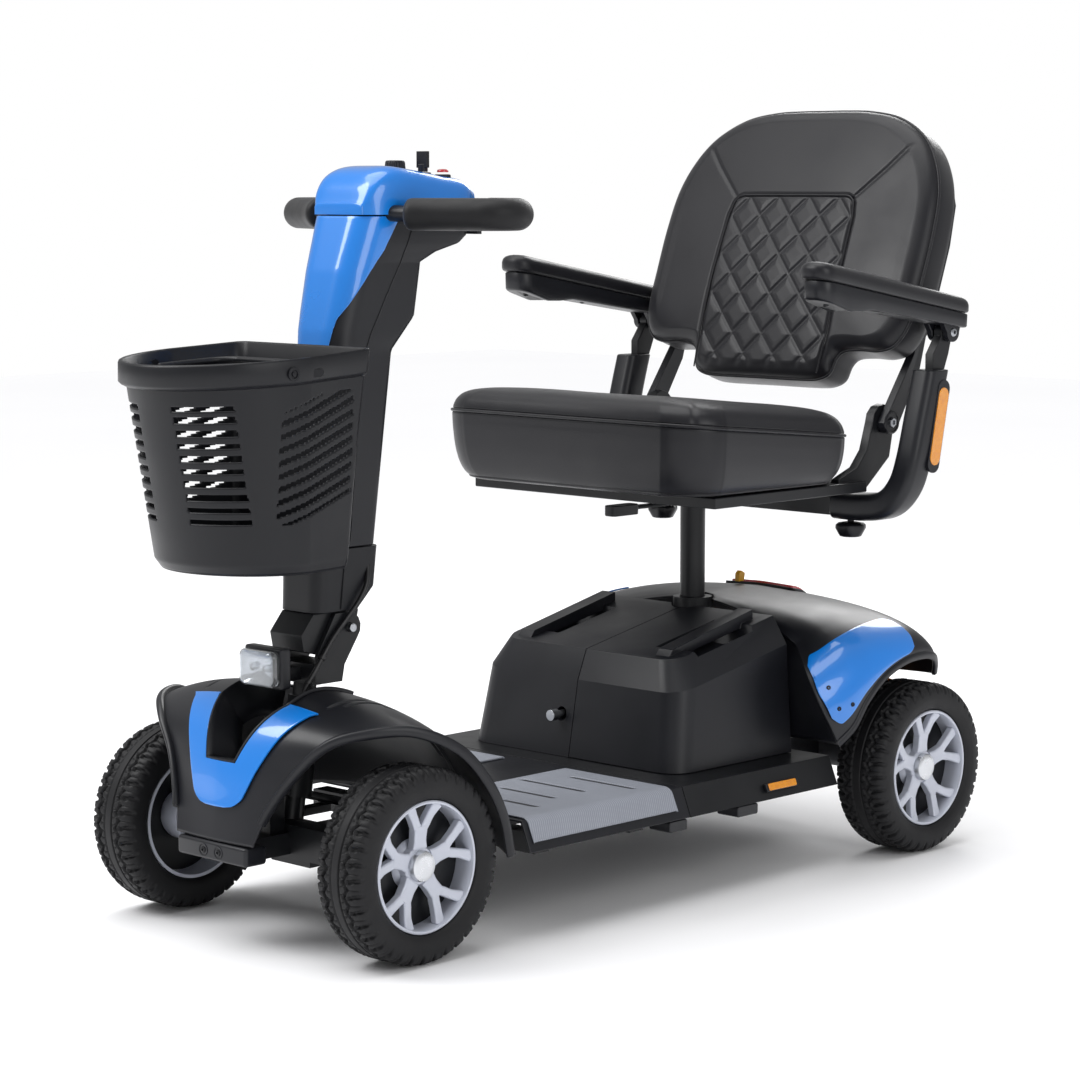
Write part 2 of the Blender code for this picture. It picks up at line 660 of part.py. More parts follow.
def pivot_bolt(name, growth=0.0):
    at = (front_y(PIVOT[0]), PIVOT[1])
    return rod(name, (-0.044, *at), (0.044, *at), 0.0055 + growth, "bright_steel", 16)


def headlamp():
    """The lamp stands in front of the hinge on the stem's arm: a housing, and a lens on its front face."""
    back = front_y(PIVOT[0]) - 0.0900
    rounded_box("headlight_housing", (-0.034, 0.034), (back - 0.016, back), (0.301, 0.350), 0.004)
    rounded_box("headlight_lens", (-0.031, 0.031), (back - 0.030, back - 0.016 - GAP), (0.304, 0.347), 0.005,
                "clear_lens")


def tiller_front_y(z):
    """The front face of the tiller at height z: its lean, and the bow that draws it back at the top."""
    heights, bow = zip(*TILLER_BOW)
    lean = (z - 0.388) * sin(TILLER_TILT) / cos(TILLER_TILT)
    return front_y(0.0140) + lean + float(np.interp(z, heights, bow))


def tiller_yoke():
    py = front_y(PIVOT[0])
    outline = [(py - 0.050, 0.3858), (py - 0.070, 0.362), (py - 0.066, 0.342), (py - 0.030, 0.333),
               (py + 0.002, 0.347), (py + 0.016, 0.360), (py + 0.022, 0.3858)]
    yoke = prism("tiller_yoke", outline, "X", -0.0285, 0.0285, "black_steel")
    cut(yoke, pivot_bolt("bore", GAP))


def section(z, front, rear, half, radius=0.016):
    """A rounded rectangle at height z, as points."""
    corners = ((half, rear, 0), (-half, rear, 90), (-half, front, 180), (half, front, 270))
    ring = []
    for x, y, start in corners:
        inset = (x - radius if x > 0 else x + radius, y - radius if y == rear else y + radius)
        ring += [(px, py, z) for px, py in arc(inset, radius, start, start + 90, 3)]
    return ring


def tiller_sleeve():
    rings = [section(z, tiller_front_y(z), front_y(rear), half) for z, rear, half in
             ((0.3865, 0.088, 0.036), (0.412, 0.114, 0.036), (0.461, 0.119, 0.037))]
    loft("tiller_sleeve", rings)


def tiller_covers():
    """A black rear shell that carries the console, and a blue front shell, meeting on a flat split."""
    split = 0.034
    rear_rings = [
        (0.4620, 0.112, 0.036), (0.5500, 0.122, 0.038), (0.6950, 0.139, 0.041), (0.7150, 0.156, 0.043),
        (0.7350, 0.174, 0.044), (0.8000, 0.182, 0.047), (0.8120, 0.205, 0.050), (0.8220, 0.240, 0.054),
        (0.8320, 0.251, 0.056), (0.8560, 0.251, 0.058),
    ]
    rings = [section(z, tiller_front_y(z) + split, front_y(rear), half, 0.012) for z, rear, half in rear_rings]
    cover = loft("tiller_rear_cover", rings)
    cut(cover, box("pocket", (-0.008, 0.008),
                   (front_y(THROTTLE_PIVOT - 0.007), front_y(0.260)), (0.8325, 0.8445)))
    front_rings = [(0.4620, 0.036), (0.6000, 0.040), (0.7200, 0.044), (0.7900, 0.048), (0.8560, 0.052)]
    rings = []
    for z, half in front_rings:
        rear = tiller_front_y(z) + split - GAP
        front = tiller_front_y(z)
        outline = [(half, rear), (-half, rear), *arc((-half + 0.030, front + 0.030), 0.030, 180, 270, 5),
                   *arc((half - 0.030, front + 0.030), 0.030, 270, 360, 5)]
        rings.append([(x, y, z) for x, y in outline])
    loft("tiller_front_cover", rings, "blue_gloss")


# Console hood stations: offset from the front axle, top height and half width.
HOOD_STATIONS = (
    (0.0860, 0.872, 0.042), (0.094, 0.893, 0.050), (0.108, 0.908, 0.056), (0.1320, 0.915, 0.060),
    (0.1650, 0.912, 0.063), (0.2065, 0.9055, 0.065), (0.2400, 0.901, 0.064), (0.2580, 0.893, 0.056),
)


def console_hood():
    rings = []
    base = CONSOLE_SEAM
    for offset, top, half in HOOD_STATIONS:
        y = front_y(offset)
        dome = arc((0, 0), 1, 0, 180, 8)
        ring = [(half, y, base)]
        ring += [(half * np.sign(c) * abs(c) ** 0.45, y, base + 0.006 + (top - base - 0.006) * s**0.45)
                 for c, s in ((float(c), max(float(s), 0.0)) for c, s in dome)]
        ring += [(-half, y, base)]
        rings.append(ring)
    loft("console_hood", rings, "blue_gloss")


def console_controls():
    def seat(offset):
        offsets = [s[0] for s in HOOD_STATIONS]
        return float(np.interp(offset, offsets, [s[1] for s in HOOD_STATIONS])) + 0.0012

    y = front_y(0.188)
    rod("speed_dial", (-0.010, y, seat(0.181)), (-0.010, y, seat(0.188) + 0.012),
        0.013, "black_plastic", 20, 0.011)
    y = front_y(0.206)
    key = rod("ignition_key", (0.020, y, seat(0.199)), (0.020, y, seat(0.206) + 0.010), 0.006, "bright_steel", 12)
    join(key, box("bow", (0.011, 0.029), (y - 0.0025, y + 0.0025), (seat(0.206) + 0.006, seat(0.206) + 0.026)))
    y = front_y(0.224)
    rod("horn_button", (0.036, y, seat(0.216) + HORN_TRAVEL), (0.036, y, seat(0.224) + 0.007),
        0.007, "red_lens", 16)


def throttle_lever():
    y = front_y(0.2660)
    bar = rounded_box("throttle_lever", (-0.058, 0.058), (y - 0.004, y + 0.004), (0.8325, 0.8435), 0.0025)
    tongue = box("tongue", (-0.0035, 0.0035), (front_y(THROTTLE_PIVOT - 0.004), y), (0.8345, 0.8425))
    join(bar, tongue)


def grips():
    """Foam-covered loops: out from the console's front, round, and back to its rear."""
    for side, sign in SIDES.items():
        front_leg, rear_leg = (0.075, 0.1265), (0.075, 0.2645)
        turn_centre, radius = (0.148, 0.1955), 0.031
        bend = arc(turn_centre, radius, -68, 68, 8)
        route = [front_leg, (0.105, 0.143), *bend, (0.105, 0.2485), rear_leg]
        points = [(sign * x, front_y(y), GRIP_Z) for x, y in route]
        tube(f"grip_{side}", points, GRIP_RADIUS, "black_foam", 12)


def basket_outline(half, front, back, steps=10):
    """A D: a flat back and a front that is half an ellipse."""
    straight = back - (back - front) * 0.42
    turns = [radians(180 + 180 * i / steps) for i in range(steps + 1)]
    nose = [(half * cos(t), straight + (straight - front) * sin(t)) for t in turns]
    return [(half * 0.92, back), (-half * 0.92, back), *nose]


def basket_rise(y):
    """How far the basket's rim climbs towards the tiller."""
    return (y - front_y(-BASKET_REACH)) * BASKET_RIM_SLOPE


def basket():
    top_front = front_y(-BASKET_REACH)
    levels = ((BASKET_BOTTOM, 0.84, 0.060), (BASKET_BOTTOM + 0.012, 0.87, 0.050),
              (BASKET_TOP - 0.030, 0.955, 0.010),
              (BASKET_TOP - 0.026, 1.0, 0.0), (BASKET_TOP, 1.0, 0.0))

    def ring(z, share, back_off, inset):
        back = tiller_front_y(z) - 0.008 - inset
        outline = basket_outline(BASKET_HALF_WIDTH * share - inset, top_front + back_off + inset, back)
        climb = (z - BASKET_BOTTOM) / (BASKET_TOP - BASKET_BOTTOM)
        return [(x, y, z + basket_rise(y) * climb) for x, y in outline]

    outer = [ring(z, share, off, 0.0) for z, share, off in levels]
    body = loft("basket", outer)
    inner_levels = ((BASKET_BOTTOM + BASKET_WALL, 0.84, 0.060), (BASKET_BOTTOM + 0.015, 0.87, 0.050),
                    (BASKET_TOP - 0.030, 0.955, 0.010), (BASKET_TOP + 0.010, 0.970, 0.007))
    inner = loft("inner", [ring(z, share, off, BASKET_WALL) for z, share, off in inner_levels])
    cut(body, inner)


def basket_bail():
    pivot, far = front_y(-0.100), front_y(-0.004)
    x = BASKET_HALF_WIDTH * 0.955 - BASKET_WALL - 0.010
    corner = [(x, pivot), (x - 0.004, far - 0.040), (x - 0.010, far - 0.014), (x - 0.026, far)]
    plan = corner + [(-a, b) for a, b in reversed(corner)]
    route = [(a, b, BASKET_TOP - 0.018 + basket_rise(b)) for a, b in plan]
    tube("basket_bail", route, 0.0042, "black_plastic", 8)


def seat_post():
    y = rear_y(POST_Y)
    rod("seat_post", (0, y, 0.195), (0, y, SEAT_BOTTOM - GAP - PAN_THICKNESS - 0.020), POST_RADIUS, "black_steel")


def bracket_outline():
    hy, hz = rear_y(BACK_HINGE[0]), BACK_HINGE[1]
    top = arc((hy, hz), 0.024, 0, 180, 6)
    return [(hy - 0.095, SEAT_BOTTOM - GAP - PAN_THICKNESS), (hy - 0.040, SEAT_BOTTOM - GAP - PAN_THICKNESS),
            (hy + 0.014, 0.528), *top, (hy - 0.036, 0.540), (hy - 0.056, 0.518), (hy - 0.095, 0.504)]


def seat_frame():
    low, high = SEAT_BOTTOM - GAP - PAN_THICKNESS, SEAT_BOTTOM - GAP
    y = rear_y(POST_Y)
    pan = box("seat_frame", (-0.215, 0.215), (rear_y(-0.360), rear_y(-0.050)), (low, high), "black_steel")
    boss = rod("boss", (0, y, low - 0.019), (0, y, low + 0.004), 0.030)
    tube_y = rear_y(ARM_FOOT_Y)
    tube = rounded_box("cross_tube", (-CROSS_TUBE_END, CROSS_TUBE_END), (tube_y - 0.014, tube_y + 0.014),
                       (ARM_FOOT_Z - 0.014, ARM_FOOT_Z + 0.014), 0.003, steps=1)
    webs = [box("web", sorted((s * 0.060, s * 0.120)), (rear_y(-0.075), tube_y + 0.006),
                (ARM_FOOT_Z + 0.008, low + 0.003)) for s in (1, -1)]
    brackets = [prism("bracket", bracket_outline(), "X", *sorted((s * BRACKET_X, s * (BRACKET_X + 0.014))))
                for s in (1, -1)]
    join(pan, boss, tube, *webs, *brackets)


def cushion_outline():
    """Seat seen from above: round front corners, and rear corners cut in for the back's brackets."""
    half, front, rear = SEAT_HALF_WIDTH, rear_y(SEAT_FRONT), rear_y(SEAT_REAR)
    r = 0.065
    right_front = arc((half - r, front + r), r, -90, 0, 6)
    return [*right_front, (half, rear - 0.100), (BRACKET_X + 0.031, rear - 0.070),
            (BRACKET_X - 0.009, rear - 0.048),
            (BRACKET_X - 0.019, rear - 0.012), (BRACKET_X - 0.035, rear)]


def seat_cushion():
    half = cushion_outline()
    outline = half + [(-x, y) for x, y in reversed(half)]
    middle = rear_y((SEAT_FRONT + SEAT_REAR) / 2)

    def ring(share, z, lift=0.0):
        return [(x * share, middle + (y - middle) * share, z + lift * (middle - y)) for x, y in outline]

    top = SEAT_BOTTOM + SEAT_THICKNESS
    rings = [ring(0.93, SEAT_BOTTOM), ring(0.985, SEAT_BOTTOM + 0.018),
             ring(1.0, SEAT_BOTTOM + 0.062, SEAT_SLOPE),
             ring(0.995, top - 0.030, SEAT_SLOPE),
             ring(0.95, top - 0.008, SEAT_SLOPE), ring(0.85, top, SEAT_SLOPE)]
    loft("seat_cushion", rings, "black_vinyl")


def swivel_lever():
    low = SEAT_BOTTOM - GAP - PAN_THICKNESS - 0.0145
    lever = box("swivel_lever", (0.040, 0.052), (rear_y(-0.345), rear_y(-0.150)),
                (low, low + 0.005), "black_steel")
    join(lever, rounded_box("handle", (0.036, 0.056), (rear_y(-0.375), rear_y(-0.325)),
                            (low - 0.006, low + 0.008),
                            0.006))


# Backrest: height above its lower edge and half width, from the bottom up.
BACK_OUTLINE = (
    (0.000, 0.106), (0.006, 0.118), (0.030, 0.126), (0.041, 0.144), (0.045, 0.192), (0.057, 0.217),
    (0.092, BACK_HALF_WIDTH), (BACK_HEIGHT - 0.178, BACK_HALF_WIDTH), (BACK_HEIGHT - 0.120, 0.231),
    (BACK_HEIGHT - 0.073, 0.210), (BACK_HEIGHT - 0.037, 0.180), (BACK_HEIGHT - 0.012, 0.136),
    (BACK_HEIGHT, 0.074),
)


def back_point(x, up, depth):
    """A point of the reclined back: `up` along it from its foot, `depth` behind its front face."""
    y = rear_y(BACK_FOOT[0]) + up * sin(BACK_TILT) + depth * cos(BACK_TILT)
    return (x, y, BACK_FOOT[1] + up * cos(BACK_TILT) - depth * sin(BACK_TILT))


def back_slab(name, low_depth, high_depth, shrink, paint, bottom=0.0, round_edge=0.0):
    right = [(half - shrink, up) for up, half in BACK_OUTLINE if up >= bottom]
    outline = right + [(-x, up) for x, up in reversed(right)]
    steps = ((low_depth, round_edge), (low_depth + round_edge * 0.7, 0.0), (high_depth, 0.0)) if round_edge else (
        (low_depth, 0.0), (high_depth, 0.0))
    middle = sum(up for _, up in outline) / len(outline)
    rings = []
    for depth, inset in steps:
        share_x = 1 - inset / BACK_HALF_WIDTH
        share_z = 1 - inset / 0.19
        rings.append([back_point(x * share_x, middle + (up - middle) * share_z, depth) for x, up in outline])
    return loft(name, rings, paint)


def backrest():
    back_slab("back_cushion", 0.0, BACK_THICKNESS - 0.012, 0.0, "black_vinyl", round_edge=0.016)
    shell = back_slab("back_frame", BACK_THICKNESS - 0.012 + GAP, BACK_THICKNESS - SKIN,
                      0.006, "black_plastic", 0.05)
    hy, hz = rear_y(BACK_HINGE[0]), BACK_HINGE[1]
    arms = []
    for s in (1, -1):
        corner_low = back_point(0, 0.056, BACK_THICKNESS - 0.010)[1:]
        corner_high = back_point(0, 0.130, BACK_THICKNESS - 0.010)[1:]
        rear_high = back_point(0, 0.130, BACK_THICKNESS + 0.004)[1:]
        rear_low = back_point(0, 0.040, BACK_THICKNESS + 0.010)[1:]
        outline = [(hy - 0.016, hz), *arc((hy, hz), 0.016, 200, 340, 4),
                   rear_low, rear_high, corner_high, corner_low]
        arms.append(prism("arm", outline, "X", *sorted((s * 0.2070, s * 0.2190))))
    join(shell, *arms)


# Middle line of the casting that carries an armrest, from its foot on the cross tube upward:
# x, y from the rear axle, z.
ARM_ROUTE = (
    (0.1500, ARM_FOOT_Y, ARM_FOOT_Z), (0.1960, ARM_FOOT_Y, ARM_FOOT_Z), (0.2340, -0.0262, 0.4690),
    (0.2565, -0.0225, 0.4930), (0.2650, -0.0155, 0.5290), (0.2670, 0.0000, 0.5900), (0.2670, 0.0170, 0.6480),
)
ARM_HALF_DEPTH, ARM_HALF_WIDTH = 0.023, 0.0185


def arm_support(side, s):
    """The casting: a chamfered oblong carried along its middle line, square to it in the X-Z plane."""
    route = np.array(ARM_ROUTE)
    ahead = np.gradient(route[:, (0, 2)], axis=0)
    ahead /= np.linalg.norm(ahead, axis=1, keepdims=True)
    section = [(a * ARM_HALF_DEPTH, b * ARM_HALF_WIDTH) for a, b in
               ((-1, -0.6), (-0.7, -1), (0.7, -1), (1, -0.6), (1, 0.6), (0.7, 1), (-0.7, 1), (-1, 0.6))]
    rings = [[(s * (x - b * dz), rear_y(y + a), z + b * dx) for a, b in section]
             for (x, y, z), (dx, dz) in zip(route, ahead)]
    support = loft(f"arm_support_{side}", rings if s < 0 else [ring[::-1] for ring in rings])
    reach = 0.0145
    bore = box("bore", sorted((s * 0.10, s * (CROSS_TUBE_END + 0.002))),
               (rear_y(ARM_FOOT_Y) - reach, rear_y(ARM_FOOT_Y) + reach), (ARM_FOOT_Z - reach, ARM_FOOT_Z + reach))
    screw = rod("screw", (s * KNOB_X, rear_y(ARM_FOOT_Y), ARM_FOOT_Z - 0.03),
                (s * KNOB_X, rear_y(ARM_FOOT_Y), ARM_FOOT_Z),
                0.0055)
    cut(support, bore, screw)
    return support


def armrests():
    py, pz = rear_y(ARM_PIVOT[0]), ARM_PIVOT[1]
    inner, outer = ARMREST_INNER_X, ARMREST_INNER_X + ARMREST_WIDTH
    nose = rear_y(-0.242)
    for side, s in SIDES.items():
        support = arm_support(side, s)
        post = box("post", sorted((s * 0.258, s * 0.272)), (py - 0.029, py - 0.009), (0.635, 0.672))
        ears = prism("ear", [(py - 0.030, 0.668), (py + 0.004, 0.668), *arc((py, pz), 0.012, -20, 200, 6)], "X",
                     *sorted((s * 0.258, s * 0.272)))
        join(support, post, ears)

        def line(y, rise):
            return pz + 0.028 + (py - y) * 0.170 + rise

        rear = py + 0.024
        tip = nose + 0.006
        base_outline = [(rear, line(rear, -0.020)), (rear, line(rear, 0.0)), (tip, line(tip, 0.0)),
                        (tip, line(tip, -0.026)), (nose + 0.060, line(nose + 0.060, -0.034))]
        base = prism(f"armrest_{side}", base_outline, "X", *sorted((s * (inner + 0.002), s * (outer - 0.002))))
        cheeks = [prism("cheek", [*arc((py, pz), 0.013, 180, 360, 6), (py + 0.018, pz + 0.020),
                                  (py - 0.030, pz + 0.020)], "X", *sorted((s * a, s * b)))
                  for a, b in ((0.2475, 0.2565), (0.2735, 0.2825))]
        slot = box("slot", sorted((s * 0.2565, s * 0.2735)), (py - 0.060, py + 0.030), (pz - 0.03, pz + 0.0135))
        join(base, *cheeks)
        cut(base, slot)
        pad_outline = [(rear, line(rear, GAP)), (rear, line(rear, 0.017)),
                       (rear - 0.008, line(rear - 0.008, 0.021)),
                       (nose + 0.012, line(nose + 0.012, 0.026)), (nose, line(nose, 0.018)),
                       (nose, line(nose, GAP))]
        prism(f"arm_pad_{side}", pad_outline, "X", *sorted((s * inner, s * outer)), "black_vinyl")
        knob_y, knob_top = rear_y(ARM_FOOT_Y), ARM_FOOT_Z - ARM_HALF_WIDTH - 0.004
        knob = rod(f"arm_knob_{side}", (s * KNOB_X, knob_y, knob_top), (s * KNOB_X, knob_y, knob_top - 0.020),
                   0.0215, "black_plastic", 16, 0.0155)
        join(knob, rod("shank", (s * KNOB_X, knob_y, knob_top - 0.002),
                       (s * KNOB_X, knob_y, ARM_FOOT_Z - 0.015), 0.0045))


def main():
    clear_scene()
    front_frame()
    deck()
    floor_mats()
    front_cowl()
    v_panel()
    bumper()
    rear_frame()
    battery_packs()
    lock_pin()
    rear_cover()
    rear_trim()
    freewheel_lever()
    transaxle()
    wheels()
    knuckles()
    track_rod()
    steering_stem()
    headlamp()
    pivot_bolt("pivot_bolt")
    tiller_yoke()
    tiller_sleeve()
    tiller_covers()
    console_hood()
    console_controls()
    throttle_lever()
    grips()
    basket()
    basket_bail()
    seat_post()
    seat_frame()
    seat_cushion()
    swivel_lever()
    backrest()
    armrests()


main()
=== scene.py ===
"""Looks of a four-wheel mobility scooter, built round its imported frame, in metres.

Front pieces are placed from the front axle and rear pieces from the rear axle, as the frame's own are.
"""

import json
from math import cos, pi, radians, sin, tan

import bmesh
import bpy
import numpy as np
from bpy.props import FloatProperty, FloatVectorProperty, PointerProperty
from bpy.types import Operator, Panel, PropertyGroup
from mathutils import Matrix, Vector

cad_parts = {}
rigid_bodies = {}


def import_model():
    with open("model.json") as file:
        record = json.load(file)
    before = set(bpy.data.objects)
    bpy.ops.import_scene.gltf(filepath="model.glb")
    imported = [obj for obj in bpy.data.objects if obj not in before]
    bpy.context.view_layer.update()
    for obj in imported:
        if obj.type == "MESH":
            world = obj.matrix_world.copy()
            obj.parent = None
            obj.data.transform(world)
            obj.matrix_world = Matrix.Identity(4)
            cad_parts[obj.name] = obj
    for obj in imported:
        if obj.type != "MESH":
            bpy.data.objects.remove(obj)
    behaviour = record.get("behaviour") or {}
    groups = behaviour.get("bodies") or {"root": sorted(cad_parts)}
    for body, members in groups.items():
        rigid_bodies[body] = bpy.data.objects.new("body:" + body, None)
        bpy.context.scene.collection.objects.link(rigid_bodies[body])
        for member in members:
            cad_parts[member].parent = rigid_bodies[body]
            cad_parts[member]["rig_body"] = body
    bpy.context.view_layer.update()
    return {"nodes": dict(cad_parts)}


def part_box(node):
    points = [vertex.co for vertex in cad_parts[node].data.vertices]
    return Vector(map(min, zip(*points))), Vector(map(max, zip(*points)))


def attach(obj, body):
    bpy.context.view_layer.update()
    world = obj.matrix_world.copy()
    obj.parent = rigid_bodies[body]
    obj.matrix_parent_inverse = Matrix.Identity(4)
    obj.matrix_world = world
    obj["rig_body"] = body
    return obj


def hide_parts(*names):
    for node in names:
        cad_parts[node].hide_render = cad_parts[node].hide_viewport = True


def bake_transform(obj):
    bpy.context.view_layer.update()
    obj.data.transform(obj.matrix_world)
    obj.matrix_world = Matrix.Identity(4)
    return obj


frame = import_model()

bl_info = {
    "name": "Mobility Scooter",
    "version": (1, 0, 0),
    "blender": (4, 5, 0),
    "location": "View3D > Sidebar > Scooter",
    "description": "Builds the looks of a four-wheel mobility scooter round its CAD frame",
    "category": "Add Mesh",
}

SIDES = {"left": 1, "right": -1}
FRONT_AXLE_Y = sum(corner.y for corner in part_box("tyre_front_left")) / 2
REAR_AXLE_Y = sum(corner.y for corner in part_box("tyre_rear_left")) / 2
SKIN = 0.003


def linear(code):
    """An sRGB hex colour as linear red, green, blue and alpha."""
    parts = [int(code[i:i + 2], 16) / 255 for i in (1, 3, 5)]
    return (*(c / 12.92 if c <= 0.04045 else ((c + 0.055) / 1.055) ** 2.4 for c in parts), 1.0)


def front_y(offset):
    """The y of a point this far behind the front axle (ahead of it when negative)."""
    return FRONT_AXLE_Y + offset


def rear_y(offset):
    """The y of a point this far behind the rear axle (ahead of it when negative)."""
    return REAR_AXLE_Y + offset


# ---------------------------------------------------------------- sizes and colours a user would change

class ScooterColours(PropertyGroup):
    """Colours of the main finishes."""

    panel: FloatVectorProperty(name="Panels", description="Paint of the nose, tiller and fender panels",
                               subtype="COLOR", size=4, min=0, max=1, default=linear("#0080E0"))
    body: FloatVectorProperty(name="Body", description="Moulded body plastic", subtype="COLOR", size=4,
                              min=0, max=1, default=linear("#131418"))
    wheel: FloatVectorProperty(name="Wheels", description="Paint of the wheels", subtype="COLOR", size=4,
                               min=0, max=1, default=linear("#C6CAD6"))
    mat: FloatVectorProperty(name="Floor mat", description="Ribbed rubber of the floor mats", subtype="COLOR",
                             size=4, min=0, max=1, default=linear("#8E929C"))
    vinyl: FloatVectorProperty(name="Upholstery", description="Vinyl of the seat, back and arm pads",
                               subtype="COLOR", size=4, min=0, max=1, default=linear("#0F0F14"))


class ScooterSizes(PropertyGroup):
    """Sizes of the details that the frame doesn't hold."""

    tread_depth: FloatProperty(name="Tread depth", description="Depth of the tyres' main grooves",
                               default=0.0040, min=0.0, max=0.008, unit="LENGTH", precision=4)
    spoke_width: FloatProperty(name="Spoke width", description="Width of one arm of a wheel spoke",
                               default=0.0095, min=0.004, max=0.02, unit="LENGTH", precision=4)
    quilt_pitch: FloatProperty(name="Quilting pitch",
                               description="Width of one diamond of the back's quilting",
                               default=0.053, min=0.02, max=0.2, unit="LENGTH", precision=4)
    piping: FloatProperty(name="Piping radius", description="Radius of the welt round the cushions",
                          default=0.0022, min=0.0005, max=0.006, unit="LENGTH", precision=4)
    cable: FloatProperty(name="Cable diameter",
                         description="Diameter of the cable beside the steering column",
                         default=0.0062, min=0.003, max=0.012, unit="LENGTH", precision=4)
    spring_wire: FloatProperty(name="Spring wire", description="Wire diameter of the suspension springs",
                               default=0.0052, min=0.002, max=0.01, unit="LENGTH", precision=4)


# ---------------------------------------------------------------- shapes

def smooth_rows(stations, places):
    """Rows of stations read at fractional places along a Catmull-Rom curve through them."""
    table = np.array(stations, float)
    table = np.vstack([2 * table[0] - table[1], table, 2 * table[-1] - table[-2]])
    places = np.clip(np.asarray(places, float), 0, len(table) - 3)
    low = np.minimum(places.astype(int), len(table) - 4)
    t = (places - low)[:, None]
    a, b, c, d = (table[low + k] for k in range(4))
    return 0.5 * (2 * b + (c - a) * t + (2 * a - 5 * b + 4 * c - d) * t**2 + (3 * b - a - 3 * c + d) * t**3)


def even_line(points, count, closed=False):
    """A line resampled to count points an equal distance apart."""
    line = np.asarray(points, float)
    if closed:
        line = np.vstack([line, line[:1]])
    run = np.concatenate([[0], np.cumsum(np.linalg.norm(np.diff(line, axis=0), axis=1))])
    at = np.linspace(0, run[-1], count, endpoint=not closed)
    return np.stack([np.interp(at, run, line[:, k]) for k in range(line.shape[1])], axis=1)


def quads(rows, columns, wrap_rows=False, wrap_columns=False, keep=None):
    """Quads of a grid numbered row by row. keep is a mask of cells."""
    i, j = np.meshgrid(np.arange(rows - (not wrap_rows)), np.arange(columns - (not wrap_columns)),
                       indexing="ij")
    if keep is not None:
        i, j = i[keep], j[keep]
    i, j = i.ravel(), j.ravel()
    k, m = (i + 1) % rows, (j + 1) % columns
    return np.stack([i * columns + j, i * columns + m, k * columns + m, k * columns + j], axis=1)


def normals_of(grid):
    """Unit normals of a grid, from the cross product of its two directions."""
    across = np.cross(np.gradient(grid, axis=0), np.gradient(grid, axis=1))
    return across / np.maximum(np.linalg.norm(across, axis=2, keepdims=True), 1e-12)


def piece(name, points, faces, finish, body, *, slot=None, replaces=(), sharp=38, away_from=None, wall=0.0,
          bevel=0.0, levels=0):
    """A mesh object on its body. A closed shape gets outward normals; a sheet faces away_from a point.

    wall thickens a sheet inwards, bevel rounds its sharp edges and levels subdivides it.
    """
    mesh = bpy.data.meshes.new(name)
    mesh.from_pydata(np.asarray(points, float).reshape(-1, 3).tolist(), [],
                     [list(map(int, f)) for f in faces])
    work = bmesh.new()
    work.from_mesh(mesh)
    bmesh.ops.remove_doubles(work, verts=work.verts, dist=1e-6)
    loose = [v for v in work.verts if not v.link_faces]
    bmesh.ops.delete(work, geom=loose, context="VERTS")
    if away_from is None:
        bmesh.ops.recalc_face_normals(work, faces=work.faces)
    else:
        centre = Vector(away_from)
        if sum(f.normal.dot(f.calc_center_median() - centre) * f.calc_area() for f in work.faces) < 0:
            bmesh.ops.reverse_faces(work, faces=work.faces)
    work.to_mesh(mesh)
    work.free()
    mesh.shade_smooth()
    mesh.set_sharp_from_angle(angle=radians(sharp))
    mesh.materials.append(finish)
    made = bpy.data.objects.new(name, mesh)
    bpy.context.scene.collection.objects.link(made)
    if levels:
        subdivide = made.modifiers.new("Subdivision", "SUBSURF")
        subdivide.levels = subdivide.render_levels = levels
    if wall:
        thicken = made.modifiers.new("Wall", "SOLIDIFY")
        thicken.thickness, thicken.offset = wall, -1
    if bevel:
        soften = made.modifiers.new("Edges", "BEVEL")
        soften.width, soften.segments, soften.limit_method = bevel, 2, "ANGLE"
        soften.angle_limit = radians(sharp)
        soften.use_clamp_overlap, soften.harden_normals = True, False
    if body:
        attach(made, body)
    if replaces:
        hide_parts(*replaces)
    return made


def loft(name, rings, finish, body, *, caps=True, **options):
    """A body through rings with the same number of points, closed at both ends by flat caps."""
    rings = np.asarray(rings, float)
    rows, columns = rings.shape[:2]
    faces = list(quads(rows, columns, wrap_columns=True))
    if caps:
        faces += [np.arange(columns), (rows - 1) * columns + np.arange(columns)]
    return piece(name, rings, faces, finish, body, **options)


def frames_along(path):
    """Two unit vectors square to a path at each of its points, turned as little as possible along it."""
    ahead = np.gradient(path, axis=0)
    ahead /= np.linalg.norm(ahead, axis=1, keepdims=True)
    start = np.eye(3)[np.argmin(np.abs(ahead[0]))]
    side = np.empty_like(path)
    for i, way in enumerate(ahead):
        start = start - way * (start @ way)
        start /= np.linalg.norm(start)
        side[i] = start
    return side, np.cross(ahead, side)


def sweep(path, radius, sides=16, closed=False, round_ends=False):
    """Rings of a round bar carried along a path. radius is one number or one for each point.

    round_ends adds rings that shrink as a quarter circle does, for a domed end.
    """
    path = np.asarray(path, float)
    radius = np.broadcast_to(np.asarray(radius, float), len(path)).copy()
    if round_ends:
        turn = np.linspace(0, pi / 2, 6)[1:]
        first, last = (path[0] - path[1]), (path[-1] - path[-2])
        first, last = first / np.linalg.norm(first), last / np.linalg.norm(last)
        ahead = path[-1] + last * (np.sin(turn) * radius[-1] * 0.6)[:, None]
        behind = path[0] + first * (np.sin(turn) * radius[0] * 0.6)[:, None]
        shrink = np.maximum(np.cos(turn), 0.04)
        path = np.vstack([behind[::-1], path, ahead])
        radius = np.concatenate([(shrink * radius[0])[::-1], radius, shrink * radius[-1]])
    if closed:
        wrapped = np.vstack([path[-1:], path, path[:1]])
        side, other = (v[1:-1] for v in frames_along(wrapped))
    else:
        side, other = frames_along(path)
    turn = np.linspace(0, 2 * pi, sides, endpoint=False)
    ring = np.cos(turn)[None, :, None] * side[:, None] + np.sin(turn)[None, :, None] * other[:, None]
    return path[:, None] + radius[:, None, None] * ring


